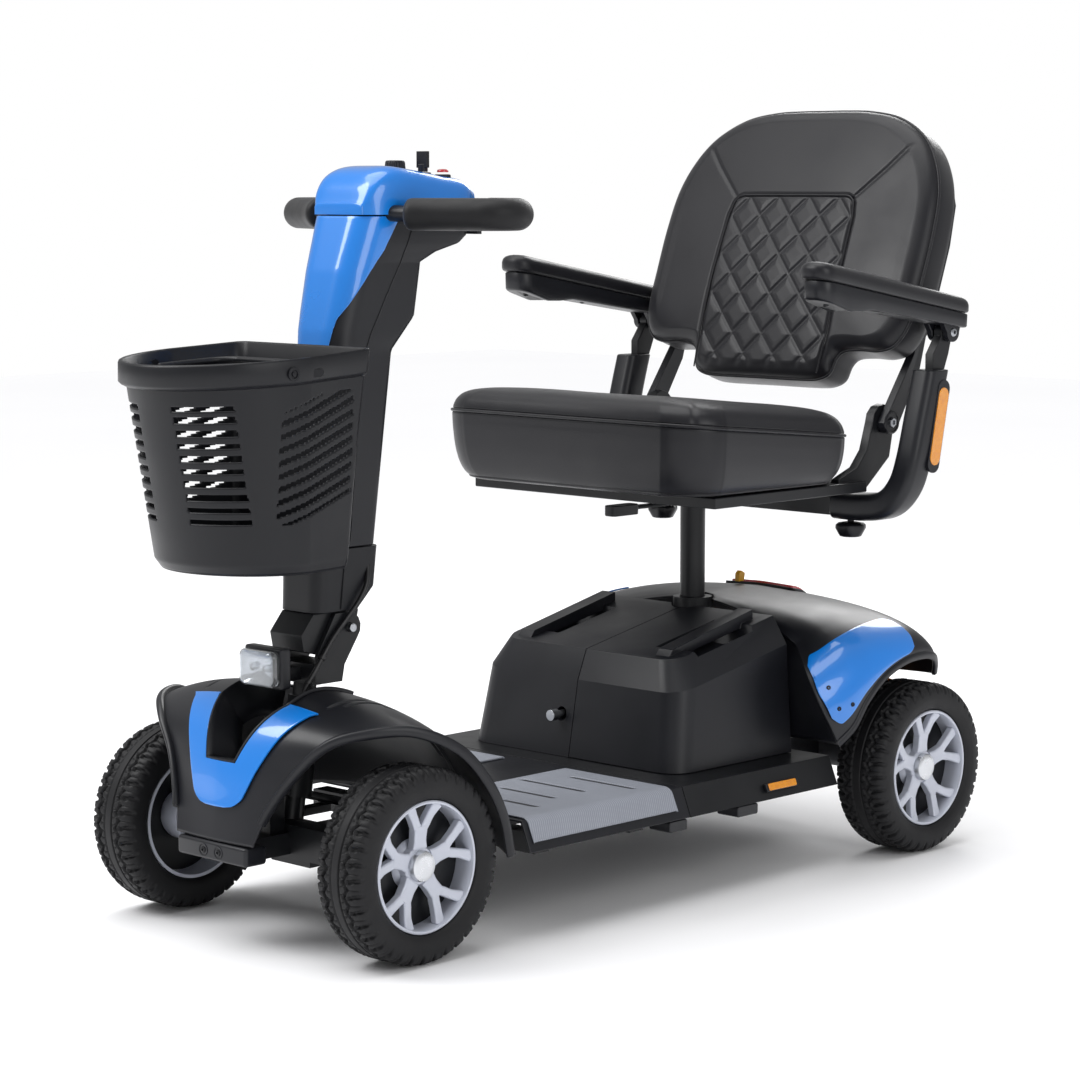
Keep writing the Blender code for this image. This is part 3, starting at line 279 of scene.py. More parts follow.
def bar(name, path, radius, finish, body, *, sides=16, closed=False, round_ends=False, **options):
    """A round bar along a path."""
    rings = sweep(path, radius, sides, closed, round_ends)
    rows, columns = rings.shape[:2]
    if closed:
        return piece(name, rings, quads(rows, columns, True, True), finish, body, **options)
    return loft(name, rings, finish, body, **options)


def turned_grid(profile, centre, axis, sides=64):
    """(along, radius) pairs turned about an axis through centre: a grid with one row for each angle."""
    profile = np.asarray(profile, float)
    axis = np.asarray(axis, float) / np.linalg.norm(axis)
    side = np.cross(axis, np.eye(3)[np.argmin(np.abs(axis))])
    side /= np.linalg.norm(side)
    other = np.cross(axis, side)
    turn = np.linspace(0, 2 * pi, sides, endpoint=False)[:, None, None]
    round_ = np.cos(turn) * side + np.sin(turn) * other
    return np.asarray(centre, float) + profile[None, :, :1] * axis + profile[None, :, 1:] * round_


def turned(name, profile, centre, axis, finish, body, *, sides=64, **options):
    """A profile turned about an axis. One that starts and ends on the axis is closed there."""
    grid = turned_grid(profile, centre, axis, sides)
    rows, columns = grid.shape[:2]
    ends = np.asarray(profile, float)
    open_ended = ends[0, 1] < 1e-6 and ends[-1, 1] < 1e-6
    return piece(name, grid, quads(rows, columns, True, not open_ended), finish, body, **options)


def plate(name, outline, place, low, high, finish, body, **options):
    """A flat outline given thickness: place turns (outline, height) into points."""
    outline = np.asarray(outline, float)
    count = len(outline)
    points = np.vstack([place(outline, low), place(outline, high)])
    i = np.arange(count)
    sides = np.stack([i, (i + 1) % count, count + (i + 1) % count, count + i], axis=1)
    return piece(name, points, [*sides, i, count + i], finish, body, **options)


def laid_flat(outline, z):
    """An outline in the plan, as points at height z."""
    return np.column_stack([outline, np.full(len(outline), z)])


def arc(centre, radius, start, end, steps):
    """Points of a circular arc, angles in degrees."""
    turn = np.radians(np.linspace(start, end, steps + 1))
    return np.stack([centre[0] + radius * np.cos(turn), centre[1] + radius * np.sin(turn)], axis=1)


def rounded_outline(half_a, half_b, radius, steps=8, centre=(0.0, 0.0)):
    """A rounded rectangle about centre, as an outline."""
    a, b = half_a - radius, half_b - radius
    parts = [arc((centre[0] + x * a, centre[1] + y * b), radius, start, start + 90, steps)
             for x, y, start in ((1, 1, 0), (-1, 1, 90), (-1, -1, 180), (1, -1, 270))]
    return np.vstack(parts)


def groove(distance, half, soft):
    """1 inside a groove of half width `half`, falling smoothly to 0 over `soft`."""
    t = np.clip((half + soft - np.abs(distance)) / soft, 0, 1)
    return t * t * (3 - 2 * t)


def refined(node, finish, *, bevel=0.0015, segments=2, angle=35, name=None):
    """A CAD node's shape with its edges rounded, in place of the node."""
    source = frame["nodes"][node]
    mesh = source.data.copy()
    mesh.name = name or node + "_finished"
    work = bmesh.new()
    work.from_mesh(mesh)
    bmesh.ops.remove_doubles(work, verts=work.verts, dist=1e-5)
    bmesh.ops.dissolve_degenerate(work, dist=1e-5, edges=work.edges)
    bmesh.ops.dissolve_limit(work, angle_limit=radians(1.5), verts=work.verts, edges=work.edges)
    work.to_mesh(mesh)
    work.free()
    mesh.materials.clear()
    mesh.materials.append(finish)
    mesh.shade_smooth()
    mesh.set_sharp_from_angle(angle=radians(angle))
    made = bpy.data.objects.new(mesh.name, mesh)
    bpy.context.scene.collection.objects.link(made)
    soften = made.modifiers.new("Edges", "BEVEL")
    soften.width, soften.segments, soften.limit_method = bevel, segments, "ANGLE"
    soften.angle_limit = radians(angle)
    soften.use_clamp_overlap, soften.harden_normals = True, True
    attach(made, source["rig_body"])
    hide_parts(node)
    return made


# ---------------------------------------------------------------- materials

def add(tree, kind, settings=None, links=None):
    """Adds a node; settings are attributes or input values, links the sources of its inputs."""
    made = tree.nodes.new(kind)
    for key, value in (settings or {}).items():
        if isinstance(key, int) or key in made.inputs:
            made.inputs[key].default_value = value
        else:
            setattr(made, key, value)
    for key, source in (links or {}).items():
        tree.links.new(source, made.inputs[key])
    return made


def mottled(name, colour, second, rough, *, grain_mm, depth_mm, cloud_mm=60.0, rough_spread=0.06, cells=False,
            strength=0.6, **shader_values):
    """A solid finish: two close colours in soft clouds, a varied roughness and a fine bumpy grain.

    grain_mm is the grain's size and depth_mm its relief. cells draws it as leather-like cells.
    """
    found = bpy.data.materials.get(name)
    if found:
        return found
    made = bpy.data.materials.new(name)
    made.use_nodes = True
    tree = made.node_tree
    shader = tree.nodes["Principled BSDF"]
    place = add(tree, "ShaderNodeTexCoord").outputs["Object"]
    cloud = add(tree, "ShaderNodeTexNoise", {"Scale": 1000 / cloud_mm, "Detail": 4.0}, {"Vector": place})
    blend = add(tree, "ShaderNodeMix", {"data_type": "RGBA", 6: colour, 7: second}, {0: cloud.outputs["Fac"]})
    tree.links.new(blend.outputs[2], shader.inputs["Base Color"])
    spread = add(tree, "ShaderNodeMapRange",
                 {"From Min": 0.3, "From Max": 0.7, "To Min": rough - rough_spread,
                  "To Max": rough + rough_spread},
                 {"Value": cloud.outputs["Fac"]})
    tree.links.new(spread.outputs["Result"], shader.inputs["Roughness"])
    if cells:
        grain = add(tree, "ShaderNodeTexVoronoi", {"feature": "DISTANCE_TO_EDGE", "Scale": 1000 / grain_mm},
                    {"Vector": place})
        flat = add(tree, "ShaderNodeMapRange", {"From Min": 0.0, "From Max": 0.22},
                   {"Value": grain.outputs["Distance"]})
        height = flat.outputs["Result"]
    else:
        height = add(tree, "ShaderNodeTexNoise", {"Scale": 1000 / grain_mm, "Detail": 3.0},
                     {"Vector": place}).outputs["Fac"]
    bump = add(tree, "ShaderNodeBump", {"Strength": strength, "Distance": depth_mm / 1000},
               {"Height": height})
    tree.links.new(bump.outputs["Normal"], shader.inputs["Normal"])
    for key, value in shader_values.items():
        shader.inputs[key.replace("_", " ").title().replace("Ior", "IOR")].default_value = value
    return made


def colours():
    """The scene's colour settings."""
    return bpy.context.scene.scooter_colours


def sizes():
    """The scene's size settings."""
    return bpy.context.scene.scooter_sizes


def moulded_abs():
    """Injection-moulded ABS with a spark-eroded texture: a satin face that scatters highlights.

    The real grain is about 0.3 mm and is drawn at 0.9 mm so that it shows.
    """
    return mottled("moulded_abs", tuple(colours().body), linear("#191A20"), 0.38, grain_mm=0.9, depth_mm=0.05,
                   ior=1.54, cloud_mm=90, specular_ior_level=0.35)


def polypropylene():
    """Moulded polypropylene of the basket and sleeve: duller and a little bluer than ABS."""
    return mottled("polypropylene", linear("#0F1014"), linear("#15161B"), 0.40, grain_mm=1.1, depth_mm=0.06,
                   ior=1.49, cloud_mm=70, specular_ior_level=0.35)


def gloss_paint():
    """Pigmented ABS under a clear lacquer: a deep even blue with sharp reflections and faint orange peel."""
    return mottled("lacquered_blue", tuple(colours().panel), linear("#0074D0"), 0.30, grain_mm=5.0,
                   depth_mm=0.012,
                   cloud_mm=140, rough_spread=0.03, coat_weight=1.0, coat_roughness=0.045, ior=1.5)


def powder_coat():
    """Powder-coated steel: baked polyester with an orange-peel skin about 2 mm across."""
    return mottled("powder_coated_steel", linear("#111215"), linear("#191A1D"), 0.38, grain_mm=2.0,
                   depth_mm=0.05, ior=1.5, cloud_mm=50, specular_ior_level=0.35)


def zinc_plate():
    """Zinc-plated steel hardware: bright, slightly hazed metal."""
    return mottled("zinc_plated_steel", linear("#B9BCC0"), linear("#9DA0A6"), 0.30, grain_mm=1.5,
                   depth_mm=0.01, cloud_mm=12, metallic=1.0)


def wheel_paint():
    """Silver wheel paint: fine aluminium flake under a semi-gloss binder."""
    return mottled("silver_wheel_paint", tuple(colours().wheel), linear("#BCC0CC"), 0.36, grain_mm=0.7,
                   depth_mm=0.02, cloud_mm=30, metallic=0.2, coat_weight=0.3, coat_roughness=0.2)


def spun_aluminium():
    """Spun aluminium of the hub caps: pale metal with a fine haze."""
    return mottled("spun_aluminium", linear("#DBDDE1"), linear("#D2D4D8"), 0.30, grain_mm=0.8, depth_mm=0.02,
                   cloud_mm=20, metallic=0.8)


def tyre_rubber():
    """Vulcanised rubber: carbon-black, matt, with a faint bloom in the mould's skin."""
    return mottled("vulcanised_rubber", linear("#0F0F11"), linear("#161619"), 0.56, grain_mm=1.6,
                   depth_mm=0.06, ior=1.52, cloud_mm=25, specular_ior_level=0.3)


def foam():
    """Closed-cell foam of the grips: a fine open skin that swallows light."""
    return mottled("closed_cell_foam", linear("#0E0E10"), linear("#151518"), 0.52, grain_mm=1.2,
                   depth_mm=0.08, ior=1.45, cloud_mm=15, strength=0.6, sheen_weight=0.12,
                   specular_ior_level=0.3)


def vinyl():
    """Calendered vinyl upholstery: leather grain of 1.4 mm cells under a soft semi-matt topcoat."""
    return mottled("embossed_vinyl", tuple(colours().vinyl), linear("#15151B"), 0.38, grain_mm=1.4,
                   depth_mm=0.05, ior=1.5, cloud_mm=80, cells=True, strength=0.5, sheen_weight=0.08,
                   specular_ior_level=0.35)


def thread():
    """Bonded polyester thread, a shade paler than the vinyl that it holds."""
    return mottled("bonded_thread", linear("#4A4A52"), linear("#5A5A62"), 0.65, grain_mm=0.6, depth_mm=0.1)


def red_lens():
    """Red acrylic lens: dyed through, polished, with a prismatic back that breaks the light."""
    return mottled("red_acrylic", linear("#E0303C"), linear("#B81A28"), 0.14, grain_mm=3.0, depth_mm=0.25,
                   cells=True, coat_weight=1.0, coat_roughness=0.05, cloud_mm=8)


def amber_lens():
    """Amber acrylic reflector: dyed through, with corner cubes of about 2.5 mm behind a polished face."""
    return mottled("amber_acrylic", linear("#F0A000"), linear("#D47A00"), 0.16, grain_mm=2.5, depth_mm=0.35,
                   cells=True, coat_weight=1.0, coat_roughness=0.04, cloud_mm=9)


def clear_lens():
    """Clear polycarbonate: nearly all light passes, and moulded flutes inside bend it."""
    return mottled("clear_polycarbonate", linear("#F4F6F8"), linear("#E8ECF0"), 0.06, grain_mm=9.0,
                   depth_mm=0.1, ior=1.58, cloud_mm=40, rough_spread=0.03, transmission_weight=0.92)


def reflector_film():
    """Vacuum-metallised reflector behind the lens: mirror-like aluminium film on plastic."""
    return mottled("metallised_film", linear("#D8DADD"), linear("#C9CCD0"), 0.16, grain_mm=4.0, depth_mm=0.3,
                   metallic=1.0, cloud_mm=15)


def marker_yellow():
    """Yellow nylon of the freewheel lever: dyed through, opaque and semi-gloss."""
    return mottled("yellow_nylon", linear("#E3AA12"), linear("#CF8F10"), 0.38, grain_mm=1.2, depth_mm=0.04,
                   cloud_mm=20)


def spring_coat():
    """Orange powder coat on spring steel."""
    return mottled("orange_spring_coat", linear("#D98A1C"), linear("#C87714"), 0.36, grain_mm=1.5,
                   depth_mm=0.04, cloud_mm=18)


def cast_alloy():
    """Sand-cast aluminium of the gearbox: grey, granular and dull."""
    return mottled("cast_alloy", linear("#5A5B5E"), linear("#6A6B6E"), 0.52, grain_mm=1.8, depth_mm=0.2,
                   metallic=0.7, cloud_mm=25)


def cable_jacket():
    """PVC cable jacket: smooth, slightly waxy black."""
    return mottled("pvc_jacket", linear("#101012"), linear("#18181B"), 0.38, grain_mm=2.5, depth_mm=0.03,
                   cloud_mm=20)


def ribbed_rubber():
    """Floor-mat rubber: a grey compound moulded with diagonal ribs 2.4 mm apart, for grip."""
    found = bpy.data.materials.get("ribbed_mat_rubber")
    if found:
        return found
    made = bpy.data.materials.new("ribbed_mat_rubber")
    made.use_nodes = True
    tree = made.node_tree
    shader = tree.nodes["Principled BSDF"]
    place = add(tree, "ShaderNodeTexCoord").outputs["Object"]
    turn = add(tree, "ShaderNodeMapping", {"Rotation": (0.0, radians(35), radians(45))}, {"Vector": place})
    ribs = add(tree, "ShaderNodeTexWave", {"wave_type": "BANDS", "bands_direction": "X",
                                           "Scale": 2 * pi / (20 * 0.0024), "Distortion": 0.0},
               {"Vector": turn.outputs["Vector"]})
    dust = add(tree, "ShaderNodeTexNoise", {"Scale": 30.0, "Detail": 4.0}, {"Vector": place})
    shade = add(tree, "ShaderNodeMix", {"data_type": "RGBA", 6: tuple(colours().mat), 7: linear("#A0A4AE")},
                {0: dust.outputs["Fac"]})
    # Painted shade: the ribs' valleys, where the bump height is lowest, are coloured darker (#80848E) than
    # the rib tops.
    lines = add(tree, "ShaderNodeMix", {"data_type": "RGBA", 6: linear("#80848E")},
                {0: ribs.outputs["Fac"], 7: shade.outputs[2]})
    tree.links.new(lines.outputs[2], shader.inputs["Base Color"])
    rough = add(tree, "ShaderNodeMapRange", {"To Min": 0.50, "To Max": 0.66}, {"Value": dust.outputs["Fac"]})
    tree.links.new(rough.outputs["Result"], shader.inputs["Roughness"])
    bump = add(tree, "ShaderNodeBump", {"Strength": 0.7, "Distance": 0.0005}, {"Height": ribs.outputs["Fac"]})
    tree.links.new(bump.outputs["Normal"], shader.inputs["Normal"])
    return made


# ---------------------------------------------------------------- wheels

TREAD_PITCHES = 38
TREAD_ROWS = 12 * TREAD_PITCHES
BEAD_RADIUS = 0.078


def wave(phase):
    """A triangle wave from -1 to 1 with period 1."""
    return 4 * np.abs(phase - np.floor(phase) - 0.5) - 1


def tread_depth_at(across, turn):
    """Depth of the tread, as a share of the full depth, over across (-1..1 of half width) and turn (pitches).

    It is the deepest of two straight ribs' grooves, a zigzag groove on each side, sipes between them,
    and wide notches through each shoulder.
    """
    side = np.abs(across)
    stagger = turn + 0.5 * (across > 0)
    ribs = 0.45 * groove(side - 0.17, 0.018, 0.030)
    zigzag = groove(side - 0.46 - 0.09 * wave(stagger), 0.045, 0.035)
    middle = (side < 0.46) & (side > 0.17)
    sipes = 0.40 * middle * groove(wave(stagger + 0.25 + 0.6 * side), 0.10, 0.12)
    notch = np.clip((side - 0.52) / 0.05, 0, 1) * groove(wave(stagger + 0.30 * (side - 0.6)) + 1, 0.38, 0.24)
    blocks = 0.35 * np.clip((side - 0.55) / 0.05, 0, 1) * groove(wave(stagger + 0.5) + 1, 0.08, 0.10)
    return np.maximum(np.maximum(np.maximum(ribs, zigzag), np.maximum(sipes, notch)), blocks)


def tyre(wheel):
    """A tyre on a grid of turn by section, pushed towards the axle by the tread's depth.

    The section runs from one bead over the sidewall, shoulder and crown to the other, then back inside.
    """
    low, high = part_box("tyre_" + wheel)
    centre, half, outer = (low + high) / 2, (high.x - low.x) / 2, (high.z - low.z) / 2
    walls = np.array([(0.80, BEAD_RADIUS), (0.90, BEAD_RADIUS + 0.0022), (0.965, BEAD_RADIUS + 0.007),
                      (0.992, BEAD_RADIUS + 0.0125), (0.998, outer - 0.0195), (0.982, outer - 0.0125),
                      (0.945, outer - 0.0075), (0.87, outer - 0.0036), (0.74, outer - 0.0012),
                      (0.60, outer - 0.0003)])
    wall = smooth_rows(walls, np.linspace(0, len(walls) - 1, 34))
    crown = np.stack([np.linspace(0.585, -0.585, 47), np.full(47, outer)], axis=1)
    inside = np.array([(-0.74, BEAD_RADIUS - 0.0002), (0.74, BEAD_RADIUS - 0.0002)])
    section = np.vstack([wall, crown, wall[::-1] * (-1, 1), inside])
    across, radius = section[:, 0], section[:, 1]
    turn = np.linspace(0, 1, TREAD_ROWS, endpoint=False)[:, None]
    depth = tread_depth_at(across[None], turn * TREAD_PITCHES)
    reach = np.clip((radius - (outer - 0.0150)) / 0.0060, 0, 1)
    reach[-2:] = 0
    height = radius[None] - sizes().tread_depth * depth * reach[None]
    angle = 2 * pi * turn
    grid = np.stack([centre.x + half * across[None] + 0 * turn,
                     centre.y + height * np.cos(angle), centre.z + height * np.sin(angle)], axis=2)
    piece("tyre_" + wheel + "_tread", grid, quads(*grid.shape[:2], True, True), tyre_rubber(),
          "wheel_" + wheel, replaces=["tyre_" + wheel], sharp=50)


def beam(path, half_width, front, back, chamfer=0.0012):
    """Rings of a bevelled bar in the wheel's plane: path gives (y, z), front and back its faces' x."""
    path = np.asarray(path, float)
    way = np.gradient(path, axis=0)
    way /= np.linalg.norm(way, axis=1, keepdims=True)
    square = np.stack([-way[:, 1], way[:, 0]], axis=1)
    corners = ((-1, 0, 0), (-1, 1, 0), (-1, 1, 1), (1, 1, 1), (1, 1, 0), (1, 0, 0))
    ring = []
    for side, up, inset in corners:
        reach = side * (half_width - chamfer * inset * 1.4)
        x = front - chamfer * (1 - inset) if up else back
        ring.append(np.column_stack([x, path + square * np.asarray(reach).reshape(-1, 1)]))
    return np.stack(ring, axis=1)


def join_shells(shells):
    """Points and faces of several closed lofts as one mesh."""
    points, faces, first = [], [], 0
    for rings in shells:
        rows, columns = rings.shape[:2]
        points.append(rings.reshape(-1, 3))
        faces += [*(quads(rows, columns, wrap_columns=True) + first), first + np.arange(columns),
                  first + (rows - 1) * columns + np.arange(columns)]
        first += rows * columns
    return np.vstack(points), faces


def rim(wheel):
    """A barrel with a rolled lip, five forked spokes in a deep dish, a hub drum and a domed cap.

    Each spoke is a stem from the hub that parts into two prongs, drawn in polar places and set by its radius.
    """
    low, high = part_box("tyre_" + wheel)
    centre, half = (low + high) / 2, (high.x - low.x) / 2
    out = 1 if centre.x > 0 else -1
    axis, body = (out, 0, 0), "wheel_" + wheel
    face, back = half - 0.004, -half + 0.006
    seat, inner = BEAD_RADIUS - 0.0006, BEAD_RADIUS - 0.0046
    barrel = [(back, inner), (back, seat), (back + 0.003, seat), (face - 0.004, seat),
              (face - 0.001, seat + 0.0002),
              (face, seat - 0.0012), (face - 0.0004, inner + 0.0008), (face - 0.0022, inner),
              (face - 0.012, inner - 0.0012), (face - 0.016, inner - 0.0004), (back + 0.002, inner)]
    turned("rim_%s_barrel" % wheel, barrel, centre, axis, wheel_paint(), body, sides=96,
           replaces=["rim_" + wheel], sharp=40)
    depth = lambda r: np.interp(r, (0.018, 0.034, 0.062, 0.0745), (-0.0120, -0.0110, -0.0070, -0.0036))
    shells = []
    width = sizes().spoke_width
    for k in range(5):
        mid = pi / 2 + 2 * pi * k / 5
        stem = np.linspace(0.020, 0.047, 7)
        path = np.stack([stem * cos(mid), stem * sin(mid)], axis=1)
        shells.append(beam(path, np.interp(stem, (0.020, 0.030, 0.047), (0.0112, 0.0094, 0.0104)),
                           face + depth(stem), face + depth(stem) - 0.011))
        for side in (1, -1):
            r = np.linspace(0.038, 0.0742, 10)
            spread = np.interp(r, (0.038, 0.050, 0.0742), (2.0, 9.0, 17.0))
            turn = mid + side * np.radians(spread)
            path = np.stack([r * np.cos(turn), r * np.sin(turn)], axis=1)
            shells.append(beam(path, np.interp(r, (0.038, 0.060, 0.0742), (0.0058, 0.0056, 0.0070)) * width
                               / 0.0095,
                               face + depth(r) - 0.0002, face + depth(r) - 0.010))
    points, faces = join_shells(shells)
    points = points * (out, 1, 1) + np.array(centre)
    piece("rim_%s_spokes" % wheel, points, faces, wheel_paint(), body, bevel=0.0007, sharp=30)
    hub = [(back + 0.004, 0), (back + 0.004, 0.030), (back + 0.008, 0.0315), (face - 0.034, 0.0315),
           (face - 0.030, 0.030), (face - 0.024, 0.0235), (face - 0.0150, 0.0225), (face - 0.0138, 0.0212),
           (face - 0.0138, 0)]
    turned("hub_" + wheel, hub, centre, axis, wheel_paint(), body, sides=64, sharp=35)
    # Painted shade: a black disc fills the wheel between hub and barrel behind the spokes, a dark sheet
    # standing in for the shade inside the wheel.
    disc = [(face - 0.0300, 0.0300), (face - 0.0290, 0.0305), (face - 0.0285, inner - 0.0006),
            (face - 0.0300, inner - 0.0006)]
    turned("spoke_shade_disc_" + wheel, disc, centre, axis, powder_coat(), body, sides=72)
    cap = [(face - 0.0140, 0), (face - 0.0140, 0.0182), (face - 0.0080, 0.0180), (face - 0.0058, 0.0170),
           (face - 0.0050, 0.0150), (face - 0.0046, 0.0110), (face - 0.0045, 0)]
    turned("hub_cap_" + wheel, cap, centre, axis, spun_aluminium(), body, sides=64, sharp=28)


WHEELS = ("front_left", "front_right", "rear_left", "rear_right")


class BuildWheels(Operator):
    """Build four treaded tyres on forked-spoke wheels"""

    bl_idname = "scooter.wheels"
    bl_label = "Wheels"

    def execute(self, context):
        for wheel in WHEELS:
            tyre(wheel)
            rim(wheel)
        return {"FINISHED"}


# ---------------------------------------------------------------- floor, nose and frame

COWL_STATIONS = ((-0.1205, 0.130, 0.068, -0.1185, 0.131), (-0.1135, 0.172, 0.083, -0.1055, 0.172),
                 (-0.1055, 0.222, 0.112, -0.0885, 0.217), (-0.0855, 0.262, 0.150, -0.0725, 0.254),
                 (-0.0535, 0.288, 0.188, -0.0415, 0.268), (-0.0085, 0.301, 0.215, 0.0065, 0.267),
                 (0.0465, 0.290, 0.235, 0.0565, 0.242), (0.0965, 0.258, 0.242, 0.0945, 0.200),
                 (0.1375, 0.210, 0.244, 0.1185, 0.155), (0.1545, 0.152, 0.244, 0.1300, 0.108))
NOTCH_FROM, NOTCH_TO = 2.0, 6.0
COWL_GROOVES = ((0.112, -0.008), (0.126, 0.006), (0.127, 0.040), (0.141, 0.054), (0.143, 0.088),
                (0.157, 0.100))


def notch_half(stations):
    """Half width of the nose notch: 25 mm, widening in a straight line to 61 mm over two stations."""
    return 0.025 + 0.036 * np.clip((stations - NOTCH_FROM) / 2, 0, 1)


def cowl_points(stations, x):
    """The nose at each station and x: over u = |x| / edge, y rises as u^1.5 and z falls as u^2.6."""
    rows = smooth_rows(COWL_STATIONS, stations)
    yc, zc, xe, ye, ze = (rows[:, k:k + 1] for k in range(5))
    u = np.minimum(np.abs(x) / xe, 1)
    return np.stack([x + 0 * yc, front_y(yc + (ye - yc) * u**1.5), zc - (zc - ze) * u**2.6], axis=2)


def lifted(grid, distance):
    """A grid moved along its own outward normals, which point forward and up."""
    normal = normals_of(grid)
    normal *= np.sign((normal[..., 2] - normal[..., 1]).mean())
    return grid + normal * np.asarray(distance)[..., None]


def front_cowl():
    """The nose skin: rows of stations by columns that follow the notch's edge, grooved over the wheels."""
    stations = np.unique(np.concatenate([np.linspace(0, 9, 112), [NOTCH_FROM, NOTCH_TO]]))
    edge = smooth_rows(COWL_STATIONS, stations)[:, 2:3]
    inner = notch_half(stations)[:, None]
    middle, outer = np.linspace(-1, 1, 17)[None], np.linspace(0, 1, 124)[None, 1:]
    right = inner + outer * (edge - inner)
    x = np.hstack([-right[:, ::-1], middle * inner, right])
    grid = cowl_points(stations, x)
    along = grid[..., 1] - FRONT_AXLE_Y
    dent = np.zeros_like(along)
    for at_x, at_y in COWL_GROOVES:
        run = np.hypot(np.abs(x) - at_x - 0.10 * (along - at_y), np.maximum(np.abs(along - at_y) - 0.023, 0))
        dent = np.maximum(dent, groove(run, 0.0016, 0.0018))
    grid = lifted(grid, -0.0024 * dent)
    rows, columns = x.shape
    keep = np.ones((rows - 1, columns - 1), bool)
    first = 123
    open_rows = (stations[:-1] >= NOTCH_FROM - 1e-9) & (stations[1:] <= NOTCH_TO + 1e-9)
    keep[open_rows, first:first + 16] = False
    piece("front_cowl_shell", grid, quads(rows, columns, keep=keep), moulded_abs(), "chassis",
          replaces=["front_cowl"], away_from=(0, front_y(0.06), 0.12), wall=SKIN, sharp=60)
    for side, sign in SIDES.items():
        line = grid[8:, -1 if sign > 0 else 0] + (0, 0, 0.0012)
        rings = sweep(even_line(line, 90), 1.0, 20)
        middle = rings.mean(axis=1, keepdims=True)
        spread = (rings - middle) * (0.0036, 0.0068, 0.0068)
        loft("cowl_arch_band_" + side, middle + spread, moulded_abs(), "chassis")


def notch_wall():
    """The lip and inside wall of the nose's open notch, carried round its edge.

    Across the edge it rises to a lip, crosses it, and drops into the nose.
    """
    up = np.linspace(NOTCH_TO, NOTCH_FROM, 60)
    foot = np.linspace(-1, 1, 15)[1:-1]
    stations = np.concatenate([up, np.full(13, NOTCH_FROM), up[::-1]])
    x = np.concatenate([-notch_half(up), foot * notch_half(np.array([NOTCH_FROM])), notch_half(up[::-1])])
    step = 1e-3
    at = lambda s, a: cowl_points(s, a[:, None])[:, 0]
    edge = at(stations, x)
    normal = np.cross(at(stations + step, x) - edge, at(stations, x + step) - edge)
    normal /= np.linalg.norm(normal, axis=1, keepdims=True)
    normal *= np.sign(normal[:, 2:3] - normal[:, 1:2])
    way = np.gradient(edge, axis=0)
    inward = np.cross(normal, way)
    inward /= np.linalg.norm(inward, axis=1, keepdims=True)
    centre = np.array([0, front_y(-0.03), 0.28])
    inward *= np.sign(((centre - edge) * inward).sum(axis=1).mean())
    offsets = ((0.0, -0.0030), (0.0002, 0.0036), (0.0010, 0.0046), (0.0024, 0.0046), (0.0032, 0.0036),
               (0.0036, -0.0040), (0.0060, -0.0300), (0.0090, -0.0440))
    grid = np.stack([edge + a * inward + b * normal for a, b in offsets], axis=1)
    piece("notch_wall", grid, quads(*grid.shape[:2]), moulded_abs(), "chassis",
          away_from=(0, front_y(0.30), 0.0), sharp=50, wall=0.0012)


def v_panel():
    """The painted V: the nose's surface raised, from a rounded foot into two arms beside the notch."""
    stations = np.unique(np.concatenate([np.linspace(0.95, 4.1, 70), [NOTCH_FROM]]))
    rise = (stations - 0.95) / 3.15
    foot = np.sqrt(np.clip(1 - (1 - np.clip((stations - 0.95) / 0.34, 0, 1)) ** 2, 0, 1))
    outer = ((0.036 + 0.074 * rise) * (0.45 + 0.55 * foot))[:, None]
    inner = np.minimum(notch_half(stations)[:, None] + 0.0010, outer * 0.7)
    middle, side = np.linspace(-1, 1, 13)[None], np.linspace(0, 1, 22)[None, 1:]
    right = inner + side * (outer - inner)
    x = np.hstack([-right[:, ::-1], middle * inner, right])
    slant = stations[:, None] - 0.16 * np.clip(rise[:, None] - 0.9, 0, 1) * 10 * np.abs(x) / 0.11
    rows, columns = x.shape
    grid = cowl_points(slant.ravel(), x.reshape(-1, 1)).reshape(rows, columns, 3)
    grid = lifted(grid, np.full((rows, columns), 0.0038))
    keep = np.ones((rows - 1, columns - 1), bool)
    keep[stations[:-1] >= NOTCH_FROM - 1e-9, 21:33] = False
    piece("v_panel_painted", grid, quads(rows, columns, keep=keep), gloss_paint(), "chassis",
          replaces=["v_panel"], away_from=(0, front_y(0.06), 0.12), wall=0.0022, bevel=0.0008, sharp=50)


MAT_SLOTS = ((0.221, 0.144, 0.196), (0.273, 0.089, 0.175), (0.328, 0.069, 0.173), (0.383, 0.104, 0.206))


